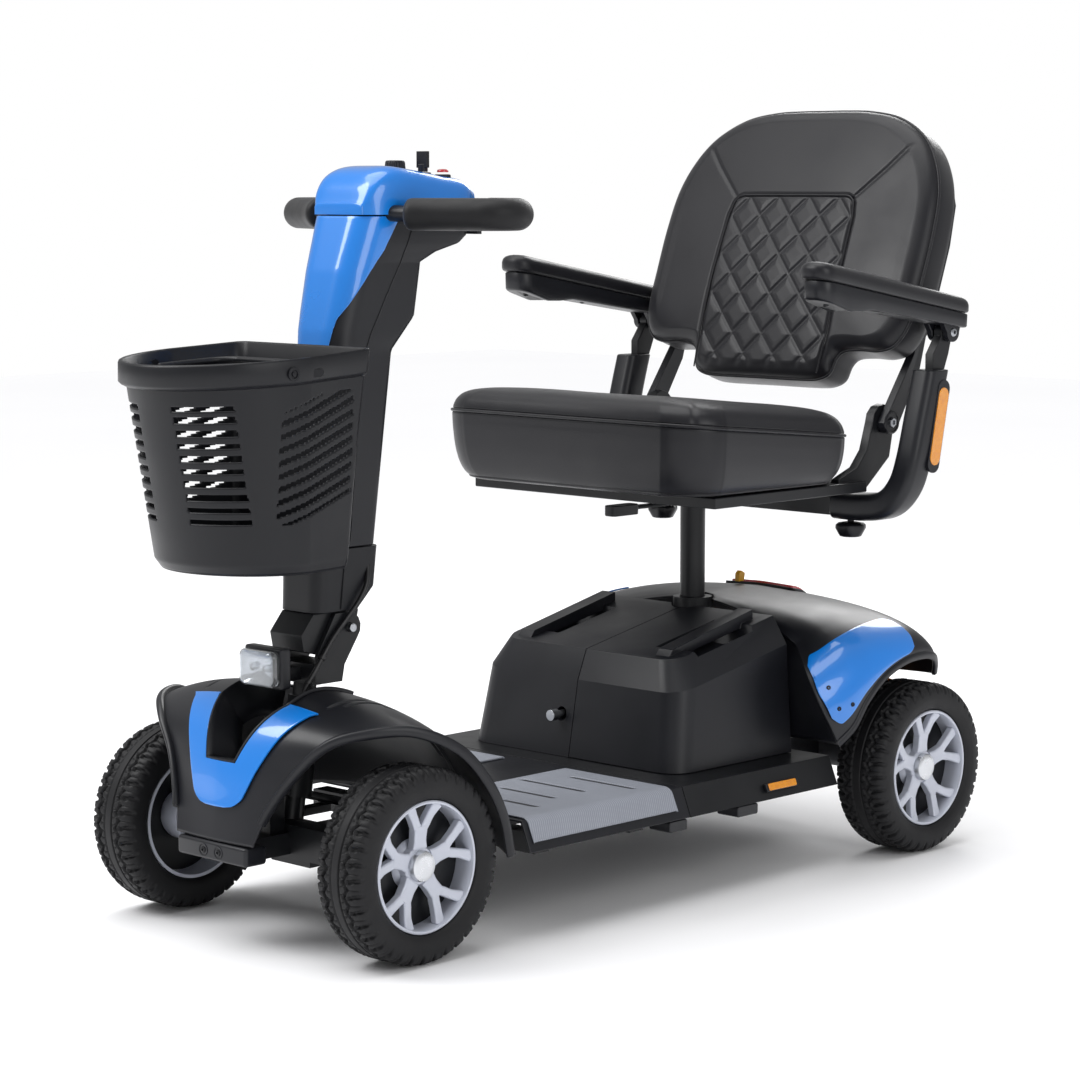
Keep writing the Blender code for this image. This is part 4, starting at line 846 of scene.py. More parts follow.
def floor_mats():
    """Each mat: a cross-section from its inner edge over the top and down the skirt, by rows along the floor.

    It is sunk along rounded slots that run across it. All its edges are dropped in a quarter circle.
    """
    for side, sign in SIDES.items():
        low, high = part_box("floor_mat_" + side)
        inner, outer = sorted((abs(low.x), abs(high.x)))
        top, y0, y1 = high.z, low.y, high.y
        skirt = low.z
        slope = 0.448
        corner = outer - (top - skirt) * slope
        bend = np.linspace(0, 1, 11)[1:]
        across = np.concatenate([np.linspace(inner, corner - 0.010, 96),
                                 (1 - bend) ** 2 * (corner - 0.010) + 2 * bend * (1 - bend) * corner
                                 + bend**2 * (corner + 0.008 * slope),
                                 np.linspace(corner + 0.010 * slope, outer, 9)])
        drop = np.concatenate([np.zeros(96), bend**2 * 0.008, np.linspace(0.010, top - skirt, 9)])
        y = np.concatenate([y0 + 0.004 * (1 - np.cos(np.linspace(0, pi / 2, 5))),
                            np.linspace(y0 + 0.006, y1 - 0.006, 170),
                            y1 - 0.004 * (1 - np.cos(np.linspace(pi / 2, 0, 5)))])
        ends = np.concatenate([0.0014 * (1 - np.sin(np.linspace(0, pi / 2, 5))), np.zeros(170),
                               0.0014 * (1 - np.sin(np.linspace(pi / 2, 0, 5)))])
        offset = y[:, None] - FRONT_AXLE_Y
        dent = np.zeros((len(y), len(across)))
        for at, start, stop in MAT_SLOTS:
            beyond = np.maximum(np.maximum(start - across, across - stop), 0)[None]
            dent = np.maximum(dent, groove(np.hypot(beyond, offset - at), 0.0045, 0.0012))
        inner_edge = 0.0010 * np.clip(1 - (across - inner) / 0.002, 0, 1) ** 2
        z = top - drop[None] - ends[:, None] - inner_edge[None] - 0.0021 * dent
        grid = np.stack([sign * across[None] + 0 * z, y[:, None] + 0 * z, z], axis=2)
        piece("floor_mat_%s_ribbed" % side, grid, quads(*z.shape), ribbed_rubber(), "chassis",
              replaces=["floor_mat_" + side], away_from=(sign * 0.14, front_y(0.30), 0.0), wall=0.0024,
              sharp=45)
        for k, (at, start, stop) in enumerate(MAT_SLOTS):
            outline = rounded_outline((stop - start) / 2 + 0.0048, 0.0047, 0.0045, 6,
                                      centre=(sign * (start + stop) / 2, front_y(at)))
            plate("mat_slot_%s_%d" % (side, k), outline, laid_flat,
                  top - 0.0026, top - 0.0013, moulded_abs(), "chassis")


def screw(name, at, axis, body, radius=0.0042, finish=None):
    """A recessed pan-head screw: a dished washer ring and a domed head with a bored socket, all turned."""
    profile = [(-0.003, 0), (-0.003, radius), (0.0, radius), (0.0012, radius * 0.86), (0.0018, radius * 0.55),
               (0.0018, radius * 0.42), (-0.0006, radius * 0.40), (-0.0006, 0)]
    turned(name, profile, at, axis, finish or zinc_plate(), body, sides=20, slot="bright_steel", sharp=30)


def bumper_and_chassis():
    """The floor pan, frames and bumper with rounded edges, and their screws, reflectors and lugs."""
    refined("deck", moulded_abs(), bevel=0.0035, segments=3)
    refined("front_frame", powder_coat(), bevel=0.0015)
    refined("rear_frame", powder_coat(), bevel=0.0015)
    refined("bumper", moulded_abs(), bevel=0.0045, segments=4)
    low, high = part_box("bumper")
    for k, x in enumerate((-0.0135, 0.0135)):
        at = (x, low.y + 0.0002, (low.z + high.z) / 2)
        ring = [(-0.001, 0.0056), (0.0008, 0.0064), (0.0010, 0.0074), (-0.001, 0.0078)]
        turned("bumper_screw_ring_%d" % k, ring, at, (0, -1, 0), moulded_abs(), "chassis", sides=24)
        screw("bumper_screw_%d" % k, at, (0, -1, 0), "chassis", finish=powder_coat())
    for side, sign in SIDES.items():
        reflector("side_reflector_" + side, rounded_outline(0.0295, 0.0050, 0.0022, 5),
                  np.array((sign * 0.2478, rear_y(-0.2635), 0.1235)), (sign, 0, 0.42), "chassis", 0.0028)
        for k, (from_y, to_y) in enumerate(((-0.350, -0.310), (-0.480, -0.447))):
            outline = rounded_outline((to_y - from_y) / 2, 0.0070, 0.0030, 4)
            middle = rear_y((from_y + to_y) / 2)
            place = lambda o, x, m=middle, s=sign: np.stack([np.full(len(o), s * x), m + o[:, 0],
                                                             0.1000 + o[:, 1]],
                                                            axis=1)
            plate("tray_lug_%s_%d" % (side, k), outline, place, 0.2130, 0.2480, moulded_abs(), "chassis",
                  bevel=0.0012)


def reflector(name, outline, middle, facing, body, height):
    """A flat lens of the outline: a black tray proud of the surface and an acrylic face set in it.

    The outline's first direction lies level along y, the second is square to it and to the facing.
    """
    facing = np.asarray(facing, float) / np.linalg.norm(facing)
    along = np.array((0.0, 1.0, 0.0)) - facing * facing[1]
    along /= np.linalg.norm(along)
    up = np.cross(facing, along)
    for part, scale, low, high, finish in (("", 0.93, 0.0, height, amber_lens()),
                                           ("_tray", 1.08, -0.002, height * 0.62, moulded_abs())):
        place = lambda o, h, s=scale: middle + s * (o[:, :1] * along + o[:, 1:] * up) + h * facing
        plate(name + part, outline, place, low, high, finish, body, bevel=0.0006)


class BuildNose(Operator):
    """Build the nose with its painted V, notch and arch bands"""

    bl_idname = "scooter.nose"
    bl_label = "Nose"

    def execute(self, context):
        front_cowl()
        notch_wall()
        v_panel()
        return {"FINISHED"}


class BuildFloor(Operator):
    """Build the floor pan, mats, frames and bumper"""

    bl_idname = "scooter.floor"
    bl_label = "Floor and frame"

    def execute(self, context):
        floor_mats()
        bumper_and_chassis()
        return {"FINISHED"}


# ---------------------------------------------------------------- rear body

COVER_STATIONS = ((-0.146, 0.336, 0.270, -0.172, 0.312, 0.262, -0.165, 0.165),
                  (-0.128, 0.338, 0.288, -0.168, 0.318, 0.270, -0.142, 0.186),
                  (-0.105, 0.339, 0.297, -0.140, 0.326, 0.274, -0.120, 0.218),
                  (-0.070, 0.340, 0.298, -0.096, 0.330, 0.276, -0.085, 0.247),
                  (-0.030, 0.339, 0.293, -0.040, 0.330, 0.276, -0.040, 0.263),
                  (0.006, 0.331, 0.286, 0.004, 0.328, 0.274, 0.000, 0.266),
                  (0.030, 0.310, 0.280, 0.030, 0.306, 0.270, 0.028, 0.261),
                  (0.046, 0.275, 0.268, 0.048, 0.272, 0.262, 0.044, 0.250),
                  (0.052, 0.225, 0.255, 0.056, 0.235, 0.255, 0.052, 0.234))
POST_Y = -0.1565
POST_NOTCH = 0.029


def cover_points(stations, share):
    """The rear cover at paired stations and signed shares of its width.

    From middle to edge it is the curve a * middle + b * shoulder + c * edge, pulled forward over the wheel.
    """
    rows = smooth_rows(COVER_STATIONS, stations)
    yc, zc, xs, ys, zs, xe, ye, ze = rows.T
    u = np.abs(share)
    a, b, c = (1 - u) ** 2, 2 * u * (1 - u), u**2
    pull = 0.030 * np.sin(pi * np.clip((u - 0.45) / 0.55, 0, 1)) * np.clip(1 - stations / 3, 0, None)
    return np.stack([np.sign(share) * (b * xs + c * xe), rear_y(a * yc + b * ys + c * ye - pull),
                     a * zc + b * zs + c * ze], axis=1)


def cover_grid(stations, shares, lift=0.0):
    """A patch of the rear cover over full grids of stations and shares, moved out along its normals."""
    shape = np.broadcast(stations, shares).shape
    s, u = (np.broadcast_to(v, shape).ravel() for v in (stations, shares))
    grid = cover_points(s, u).reshape(*shape, 3)
    if not lift:
        return grid
    normal = normals_of(grid)
    outward = grid - np.array((0, rear_y(-0.05), 0.15))
    normal *= np.sign((normal * outward).sum(axis=2).mean())
    return grid + normal * lift


def rear_cover():
    """The fender cover on a grid of stations by shares, its edge drawn round the seat post's notch."""
    stations, shares = np.linspace(0, 8, 110)[:, None], np.linspace(-1, 1, 181)[None]
    grid = cover_grid(stations, shares)
    away = grid[..., :2] - (0, rear_y(POST_Y))
    gap = np.linalg.norm(away, axis=2)
    front = stations < 2.5
    inside = (gap < POST_NOTCH) & front
    cells = inside[:-1, :-1] & inside[1:, :-1] & inside[:-1, 1:] & inside[1:, 1:]
    push = np.where(inside, POST_NOTCH / np.maximum(gap, 1e-6), 1)[..., None]
    grid[..., :2] += away * (push - 1)
    piece("rear_cover_shell", grid, quads(*grid.shape[:2], keep=~cells), moulded_abs(), "chassis",
          replaces=["rear_cover"], away_from=(0, rear_y(-0.05), 0.15), wall=SKIN, sharp=50)
    for side, sign in SIDES.items():
        line = grid[:, -1 if sign > 0 else 0]
        rings = sweep(even_line(line, 90), 1.0, 16)
        middle = rings.mean(axis=1, keepdims=True)
        loft("rear_arch_band_" + side, middle + (rings - middle) * (0.0030, 0.0055, 0.0055), moulded_abs(),
             "chassis")


def fender_walls():
    """A wall on each side from the cover's front edge to the pack: its rows run straight across."""
    share = np.linspace(0.30, 1.0, 40)
    for side, sign in SIDES.items():
        edge = cover_points(np.zeros(40), sign * share) + (0, 0.003, -0.002)
        inner = np.column_stack([np.full(40, sign * 0.1500), np.full(40, rear_y(-0.163)), edge[:, 2]])
        t = np.linspace(0, 1, 12)[None, :, None]
        grid = edge[:, None] * (1 - t) + inner[:, None] * t
        grid[..., 1] += 0.006 * np.sin(pi * t[..., 0])
        piece("fender_wall_" + side, grid, quads(*grid.shape[:2]), moulded_abs(), "chassis",
              away_from=(sign * 0.22, rear_y(0.0), 0.20), wall=0.0025, sharp=50)


def painted_patch(name, shares, stations, replaced, finish, lift, wall, corner):
    """A raised panel on the rear cover, its corners rounded by drawing its ends in along a quarter circle."""
    t = np.linspace(0, 1, 60)
    low, high = stations
    edge = np.minimum(t, 1 - t)
    draw = corner * (1 - np.sqrt(np.clip(1 - (1 - np.clip(edge / 0.10, 0, 1)) ** 2, 0, 1)))
    left, right = shares
    first = left + draw * np.sign(right - left)
    last = right - draw * np.sign(right - left)
    across = np.linspace(0, 1, 34)[None]
    share = first[:, None] + (last - first)[:, None] * across
    grid = cover_grid((low + (high - low) * t)[:, None] + 0 * across, share, lift)
    piece(name, grid, quads(*grid.shape[:2]), finish, "chassis", replaces=[replaced],
          away_from=(0, rear_y(-0.05), 0.15), wall=wall, bevel=0.0008, sharp=45)
    return grid


def rear_panels():
    """The painted fender panels with three screws each, and the tail light."""
    for side, sign in SIDES.items():
        grid = painted_patch("fender_insert_%s_painted" % side, (sign * 0.55, sign * 0.93), (0.15, 4.4),
                             "fender_insert_" + side, gloss_paint(), 0.0038, 0.0022, 0.11)
        normal = normals_of(grid)
        normal *= np.sign((normal * (grid - np.array((0, rear_y(-0.05), 0.15)))).sum(axis=2).mean())
        for k, (row, column) in enumerate(((7, 17), (7, 27), (15, 30))):
            screw("fender_screw_%s_%d" % (side, k), grid[row, column] + normal[row, column] * 0.0002,
                  normal[row, column], "chassis", radius=0.0030, finish=moulded_abs())
    painted_patch("tail_light_lens", (-0.10, 0.10), (4.5, 5.4), "tail_light", red_lens(), 0.0066, 0.0048,
                  0.02)
    painted_patch("tail_light_bezel", (-0.115, 0.115), (4.38, 5.52), "tail_light", moulded_abs(), 0.0036,
                  0.0040, 0.02)


def springs():
    """Helical springs beside the gearbox: a wire carried round a cylinder, its end turns closed up."""
    for side, sign in SIDES.items():
        turns, coil_radius = 6.5, 0.0165
        t = np.linspace(0, 1, 220)
        rise = np.interp(t, (0, 0.12, 0.88, 1), (0, 0.055, 0.945, 1))
        turn = 2 * pi * turns * t
        x = sign * 0.182 + coil_radius * np.cos(turn)
        y = rear_y(0.026) + coil_radius * np.sin(turn) + 0.012 * (1 - rise)
        path = np.stack([x, y, 0.150 + 0.098 * rise], axis=1)
        bar("suspension_spring_" + side, path, sizes().spring_wire / 2, spring_coat(), "chassis", sides=10)
        bar("damper_" + side, [(sign * 0.182, rear_y(0.038), 0.140), (sign * 0.182, rear_y(0.026), 0.256)],
            0.0085, powder_coat(), "chassis", sides=24)


class BuildRear(Operator):
    """Build the rear cover, fender panels, tail light, packs, drive and springs"""

    bl_idname = "scooter.rear"
    bl_label = "Rear body"

    def execute(self, context):
        rear_cover()
        fender_walls()
        rear_panels()
        springs()
        for node, finish, width in (("battery_pack_left", moulded_abs(), 0.0030),
                                    ("battery_pack_right", moulded_abs(), 0.0030),
                                    ("transaxle", cast_alloy(), 0.0015),
                                    ("lock_pin", zinc_plate(), 0.0008),
                                    ("freewheel_lever", marker_yellow(), 0.0012)):
            refined(node, finish, bevel=width, segments=3)
        return {"FINISHED"}


# ---------------------------------------------------------------- steering column, tiller and console

TILLER_TILT = radians(6.2)
TILLER_BOW = ((0.388, 0.0), (0.462, -0.005), (0.600, -0.009), (0.720, -0.007), (0.790, 0.003), (0.857, 0.018))
FRONT_HALF = ((0.462, 0.036), (0.600, 0.040), (0.720, 0.044), (0.790, 0.048), (0.856, 0.052))
REAR_RINGS = ((0.4620, 0.112, 0.036), (0.5500, 0.122, 0.038), (0.6950, 0.139, 0.041), (0.7150, 0.156, 0.043),
              (0.7350, 0.174, 0.044), (0.8000, 0.182, 0.047), (0.8120, 0.205, 0.050), (0.8220, 0.240, 0.054),
              (0.8320, 0.251, 0.056), (0.8560, 0.251, 0.058))
SPLIT = ((0.462, 0.003), (0.700, 0.003), (0.735, 0.006), (0.775, 0.024), (0.815, 0.044), (0.856, 0.054))


def column(table, z):
    """The values of a table of rows that start with a height, at height z."""
    rows = np.array(table, float)
    return [np.interp(z, rows[:, 0], rows[:, k]) for k in range(1, rows.shape[1])]


def tiller_front_y(z):
    """The front of the tiller at height z: a line at the tiller's tilt plus its measured bow."""
    return front_y(0.014) + (z - 0.388) * tan(TILLER_TILT) + column(TILLER_BOW, z)[0]


def half_section(z, front, rear, front_half, rear_half, front_radius, rear_radius, count):
    """Half of a rounded section at height z, from its front middle to its rear middle, evenly spaced."""
    turn = np.linspace(0, pi / 2, 12)
    nose = np.stack([front_half - front_radius + front_radius * np.sin(turn),
                     front + front_radius - front_radius * np.cos(turn)], axis=1)
    tail = np.stack([rear_half - rear_radius + rear_radius * np.cos(turn),
                     rear - rear_radius + rear_radius * np.sin(turn)], axis=1)
    line = even_line(np.vstack([[(0, front)], nose, tail, [(0, rear)]]), count)
    return np.column_stack([line, np.full(count, z)])


def both_halves(half):
    """A closed ring from half of it: the half, then its mirror image back to the start."""
    return np.vstack([half, half[-2:0:-1] * (-1, 1, 1)])


def tiller_half(z, count=60, inset=0.0):
    """Half of the tiller's section at height z, from the tables of its half widths."""
    (front_half,), (rear, rear_half) = column(FRONT_HALF, z), column(REAR_RINGS, z)
    return half_section(z, tiller_front_y(z) + inset, front_y(rear), front_half - inset, rear_half,
                        min(0.030, front_half * 0.72), 0.012, count)


def tiller():
    """The column's black body as rounded sections, and over its front a painted shell that widens to the top.

    The shell follows each section from its front middle until it is SPLIT deep.
    """
    heights = np.unique(np.concatenate([np.linspace(0.4620, 0.8560, 90), np.linspace(0.800, 0.836, 18)]))
    ease = lambda z: 0.0006 + 0.0012 * np.clip((z - 0.853) / 0.003, 0, 1)
    rings = [both_halves(tiller_half(z, inset=ease(z))) for z in heights]
    loft("tiller_body", rings, moulded_abs(), "tiller", replaces=["tiller_rear_cover"],
         bevel=0.0012, sharp=50)
    rows = []
    for z in np.linspace(0.4640, 0.8552, 110):
        half = tiller_half(z, 400)
        depth = column(SPLIT, z)[0]
        side = half[:np.searchsorted(half[:, 1] - half[0, 1], max(depth, 0.0035))]
        side = even_line(side, 24)
        rows.append(np.vstack([side[:0:-1] * (-1, 1, 1), side]))
    grid = np.array(rows)
    middle = np.array([0, front_y(0.10), 0.66])
    normal = normals_of(grid)
    normal *= np.sign((normal * (grid - middle)).sum(axis=2).mean())
    grid = grid + normal * 0.0012
    piece("tiller_painted_shell", grid, quads(*grid.shape[:2]), gloss_paint(), "tiller",
          replaces=["tiller_front_cover"], away_from=middle, wall=0.0016, bevel=0.0006, sharp=45)
    for side, sign in SIDES.items():
        line = []
        for z in np.linspace(0.470, 0.850, 60):
            half = tiller_half(z, 200)
            depth = 0.050 + 0.028 * np.clip((z - 0.70) / 0.1, 0, 1)
            line.append(half[np.searchsorted(half[:, 1] - half[0, 1], depth)] * (sign, 1, 1))
        bar("tiller_side_seam_" + side, np.array(line), 0.0007, moulded_abs(), "tiller", sides=8)


def sleeve():
    """The tiller's foot: a shorter sleeve of rounded sections, with a seam down each side."""
    rings = []
    for z in np.linspace(0.3865, 0.4610, 34):
        rear, half = column(((0.3865, 0.088, 0.036), (0.412, 0.114, 0.036), (0.461, 0.119, 0.037)), z)
        rings.append(both_halves(half_section(z, tiller_front_y(z), front_y(rear), half, half, 0.016, 0.016,
                                              40)))
    loft("tiller_sleeve_moulded", rings, polypropylene(), "tiller", replaces=["tiller_sleeve"],
         bevel=0.0018, sharp=50)
    for side, sign in SIDES.items():
        line = [(sign * 0.0370, front_y(0.052) + (z - 0.39) * tan(TILLER_TILT), z)
                for z in np.linspace(0.389, 0.459, 12)]
        bar("sleeve_seam_" + side, line, 0.0007, polypropylene(), "tiller", sides=8)


HOOD_STATIONS = ((0.0860, 0.872, 0.042), (0.0940, 0.893, 0.050), (0.1080, 0.908, 0.056),
                 (0.1320, 0.915, 0.060),
                 (0.1650, 0.912, 0.063), (0.2065, 0.9055, 0.065), (0.2400, 0.901, 0.064),
                 (0.2580, 0.893, 0.056))
SEAM_Z = 0.857
ARCH_Z = 0.863
ARCH_POWER = 0.45


def hood_top(offset):
    """Height of the hood's top this far behind the front axle, in straight lines between stations."""
    rows = np.array(HOOD_STATIONS)
    return np.interp(offset, rows[:, 0], rows[:, 1])


def console():
    """The console's hood: sections that are superellipses, half * |cos|^0.45 across and |sin|^0.45 up.

    The end sections shrink to a rounded nose and tail.
    """
    rows = smooth_rows(HOOD_STATIONS, np.linspace(0, 7, 64))
    ends = np.sqrt(np.clip(1 - (1 - np.linspace(0.15, 0.98, 5)) ** 2, 0, 1))
    first = np.array([rows[0] * (1, 0, 1) + (-0.0004 * (5 - k), ARCH_Z + (rows[0, 1] - ARCH_Z) * e,
                                             -0.004 * (1 - e))
                      for k, e in enumerate(ends)])
    last = np.array([rows[-1] * (1, 0, 1) + (0.0006 * (5 - k), ARCH_Z + (rows[-1, 1] - ARCH_Z) * e,
                                             -0.004 * (1 - e))
                     for k, e in reversed(list(enumerate(ends)))])
    rows = np.vstack([first, rows, last])
    turn = np.linspace(0, pi, 61)
    c, s = np.cos(turn), np.abs(np.sin(turn))
    rings = []
    for offset, top, half in rows:
        x = half * np.sign(c) * np.abs(c) ** ARCH_POWER
        z = ARCH_Z + (top - ARCH_Z) * s**ARCH_POWER
        arch = np.stack([x, np.full(61, front_y(offset)), z], axis=1)
        foot = np.array([(-half, front_y(offset), SEAM_Z), (half, front_y(offset), SEAM_Z)])
        rings.append(np.vstack([arch, foot]))
    loft("console_hood_painted", rings, gloss_paint(), "tiller", replaces=["console_hood"], sharp=60)
    for name, x, offset, radius in (("dial", -0.010, 0.188, 0.0158), ("key", 0.020, 0.206, 0.0100),
                                    ("horn", 0.036, 0.224, 0.0098)):
        seat = hood_top(offset)
        collar = [(-0.004, radius - 0.0030), (-0.004, radius), (0.0010, radius), (0.0018, radius - 0.0006),
                  (0.0018, radius - 0.0020), (0.0008, radius - 0.0027)]
        turned(name + "_collar", collar, (x, front_y(offset), seat), (0, 0, 1), moulded_abs(), "tiller",
               sides=48, sharp=35)


def knurled(name, centre, radius, low, high, ribs, finish, body, **options):
    """A knob whose radius dips between ribs: radius - depth * |sin| of the turn, over a domed top."""
    turn = np.linspace(0, 2 * pi, ribs * 8, endpoint=False)[:, None]
    profile = np.array([(low, 0.0, 0), (low, 1.0, 0), (low + 0.0010, 1.0, 1), (high - 0.0022, 0.94, 1),
                        (high - 0.0006, 0.88, 0.5), (high, 0.80, 0), (high + 0.0002, 0.40, 0),
                        (high, 0.0, 0)])
    dip = 0.07 * (1 - np.abs(np.sin(turn * ribs / 2))) ** 2
    reach = radius * profile[None, :, 1] * (1 - dip * profile[None, :, 2])
    grid = np.stack([centre[0] + reach * np.cos(turn), centre[1] + reach * np.sin(turn),
                     np.broadcast_to(profile[:, 0], reach.shape)], axis=2)
    piece(name, grid, quads(*grid.shape[:2], wrap_rows=True), finish, body, sharp=35, **options)


def controls():
    """The speed dial, key, horn button and throttle bar."""
    low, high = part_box("speed_dial")
    centre = ((low.x + high.x) / 2, (low.y + high.y) / 2)
    knurled("speed_dial_knurled", centre, (high.x - low.x) / 2, low.z, high.z, 20, moulded_abs(),
            "speed_dial", replaces=["speed_dial"])
    pointer = rounded_outline(0.0008, 0.0048, 0.0007, 3, centre=(centre[0], centre[1] - 0.0060))
    plate("speed_dial_pointer", pointer, laid_flat, high.z - 0.0004, high.z + 0.0002, reflector_film(),
          "speed_dial")
    refined("ignition_key", moulded_abs(), bevel=0.0010)
    low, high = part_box("horn_button")
    radius = (high.x - low.x) / 2
    cap = [(0, 0), (0, radius), (0.0018, radius), (0.0030, radius * 0.90), (0.0037, radius * 0.6),
           (0.0039, 0)]
    turned("horn_button_cap", cap, ((low.x + high.x) / 2, (low.y + high.y) / 2, low.z), (0, 0, 1), red_lens(),
           "horn_button", sides=32, replaces=["horn_button"])
    refined("throttle_lever", moulded_abs(), bevel=0.0022, segments=3)


def grips():
    """Foam loops: a round bar round the hand's space, full in the middle and rounded at both ends."""
    bow = arc((0.148, 0.1955), 0.031, -68, 68, 8)
    route = np.vstack([[(0.0745, 0.1262), (0.105, 0.143)], bow, [(0.105, 0.2485), (0.0745, 0.2648)]])
    for side, sign in SIDES.items():
        plan = even_line(smooth_rows(route, np.linspace(0, len(route) - 1, 200)), 110)
        path = np.stack([sign * plan[:, 0], front_y(plan[:, 1]), np.full(len(plan), 0.8575)], axis=1)
        run = np.linspace(0, 1, len(path))
        end = np.clip(np.minimum(run, 1 - run) / 0.035, 0, 1)
        radius = 0.0193 * (0.72 + 0.28 * np.sqrt(1 - (1 - end) ** 2))
        made = bar("grip_%s_foam" % side, path, radius, foam(), "tiller", sides=40, replaces=["grip_" + side])
        for k, (offset, outer) in enumerate(((0.1215, 0.1270), (0.2680, 0.2640))):
            ends = [(sign * 0.048, front_y(offset), 0.8590), (sign * 0.076, front_y(outer), 0.8578)]
            bar("grip_stub_%s_%d" % (side, k), ends, 0.0098, powder_coat(), "tiller", sides=24)


def headlamp():
    """The lamp's rounded housing, its metal film bowl and its crowned clear lens."""
    refined("headlight_housing", moulded_abs(), bevel=0.0035, segments=4)
    low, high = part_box("headlight_lens")
    middle_z, half_x, half_z = (low.z + high.z) / 2, (high.x - low.x) / 2, (high.z - low.z) / 2
    outline = rounded_outline(half_x, half_z, 0.009, 8)
    lens = ((1, 0.0), (1, 0.60), (0.985, 0.72), (0.94, 0.84), (0.82, 0.92), (0.60, 0.97), (0.30, 0.995),
            (0.05, 1.0))
    bowl = ((0.93, 0.66), (0.90, 0.62), (0.80, 0.40), (0.62, 0.20), (0.40, 0.08), (0.12, 0.03), (0.03, 0.02))
    for name, levels, finish, behind, options in (
            ("headlight_lens_clear", lens, clear_lens(), 0.05,
             {"replaces": ["headlight_lens"], "wall": 0.0014}),
            ("headlight_bowl", bowl, reflector_film(), 0.10, {})):
        rings = np.array([np.column_stack([outline[:, 0] * share,
                                           np.full(len(outline), high.y + (low.y - high.y) * depth),
                                           middle_z + outline[:, 1] * share]) for share, depth in levels])
        rows, columns = rings.shape[:2]
        faces = [*quads(rows, columns, wrap_columns=True), np.arange(columns) + (rows - 1) * columns]
        piece(name, rings, faces, finish, "steering", away_from=(0, high.y + behind, middle_z), sharp=60,
              **options)
    for x in (-0.012, 0.012):
        bulb = [(-0.001, 0), (-0.001, 0.0050), (0.0030, 0.0048), (0.0052, 0.0032), (0.0060, 0)]
        turned("headlight_lamp_%s" % ("left" if x > 0 else "right"), bulb, (x, high.y - 0.0010, middle_z),
               (0, -1, 0), clear_lens(), "steering", sides=28)


def steering():
    """The column's steel parts with rounded edges, and the clipped cable beside them."""
    for node in ("steering_stem", "tiller_yoke", "pivot_bolt", "track_rod", "knuckle_left", "knuckle_right"):
        refined(node, zinc_plate() if node == "pivot_bolt" else powder_coat(), bevel=0.0012)
    route = np.array([(0.0330, 0.0985, 0.4400), (0.0405, 0.0900, 0.4180), (0.0425, 0.0760, 0.3980),
                      (0.0400, 0.0560, 0.3760),
                      (0.0395, 0.0340, 0.3540), (0.0385, 0.0080, 0.3200), (0.0360, -0.0080, 0.2960),
                      (0.0320, -0.0120, 0.2680),
                      (0.0280, -0.0080, 0.2400)])
    path = even_line(smooth_rows(route, np.linspace(0, 8, 160)), 120)
    path[:, 1] = front_y(path[:, 1])
    cable = bar("wiring_cable", path, sizes().cable / 2, cable_jacket(), None, sides=12)
    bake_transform(cable)
    for k, at in enumerate((0.56, 0.70)):
        i = int(at * len(path))
        way = path[i + 1] - path[i - 1]
        inner, outer = sizes().cable / 2 + 0.0002, sizes().cable / 2 + 0.0014
        ring = [(-0.0022, inner), (-0.0022, outer), (0.0022, outer), (0.0022, inner)]
        turned("cable_tie_%d" % k, ring, path[i], way, cable_jacket(), "steering", sides=20)


class BuildTiller(Operator):
    """Build the tiller, console, controls, grips, headlamp and steering column"""

    bl_idname = "scooter.tiller"
    bl_label = "Tiller and console"

    def execute(self, context):
        tiller()
        sleeve()
        console()
        controls()
        grips()
        headlamp()
        steering()
        return {"FINISHED"}


# ---------------------------------------------------------------- basket

BASKET_TOP = 0.691
BASKET_HALF = 0.130
BASKET_NOSE = -0.2165
RIM_CLIMB = 0.055
SLOT_PITCH = 0.0146


def basket_ring(z, share, back_off, count, inset=0.0, lift=0.0):
    """A D-shaped ring: straight back and sides, half an ellipse for the nose, climbing to the rear."""
    bottom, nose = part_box("basket")[0].z, front_y(BASKET_NOSE)
    half = BASKET_HALF * share - inset
    front, back = nose + back_off + inset, tiller_front_y(z) - 0.008 - inset
    straight = back - (back - front) * 0.42
    turn = np.linspace(pi, 2 * pi, 80)
    curve = np.stack([half * np.cos(turn), straight + (straight - front) * np.sin(turn)], axis=1)
    corner = 0.012
    right = arc((half * 0.92 - corner, back - corner), corner, 0, 90, 8)
    left = arc((corner - half * 0.92, back - corner), corner, 90, 180, 8)
    line = even_line(np.vstack([right, left, curve]), count, closed=True)
    climb = (line[:, 1] - nose) * RIM_CLIMB * (z + lift - bottom) / (BASKET_TOP - bottom)
    return np.column_stack([line, z + lift + climb])


BASKET_LEVELS = ((0.448, 0.84, 0.060), (0.460, 0.87, 0.050), (0.661, 0.955, 0.010))


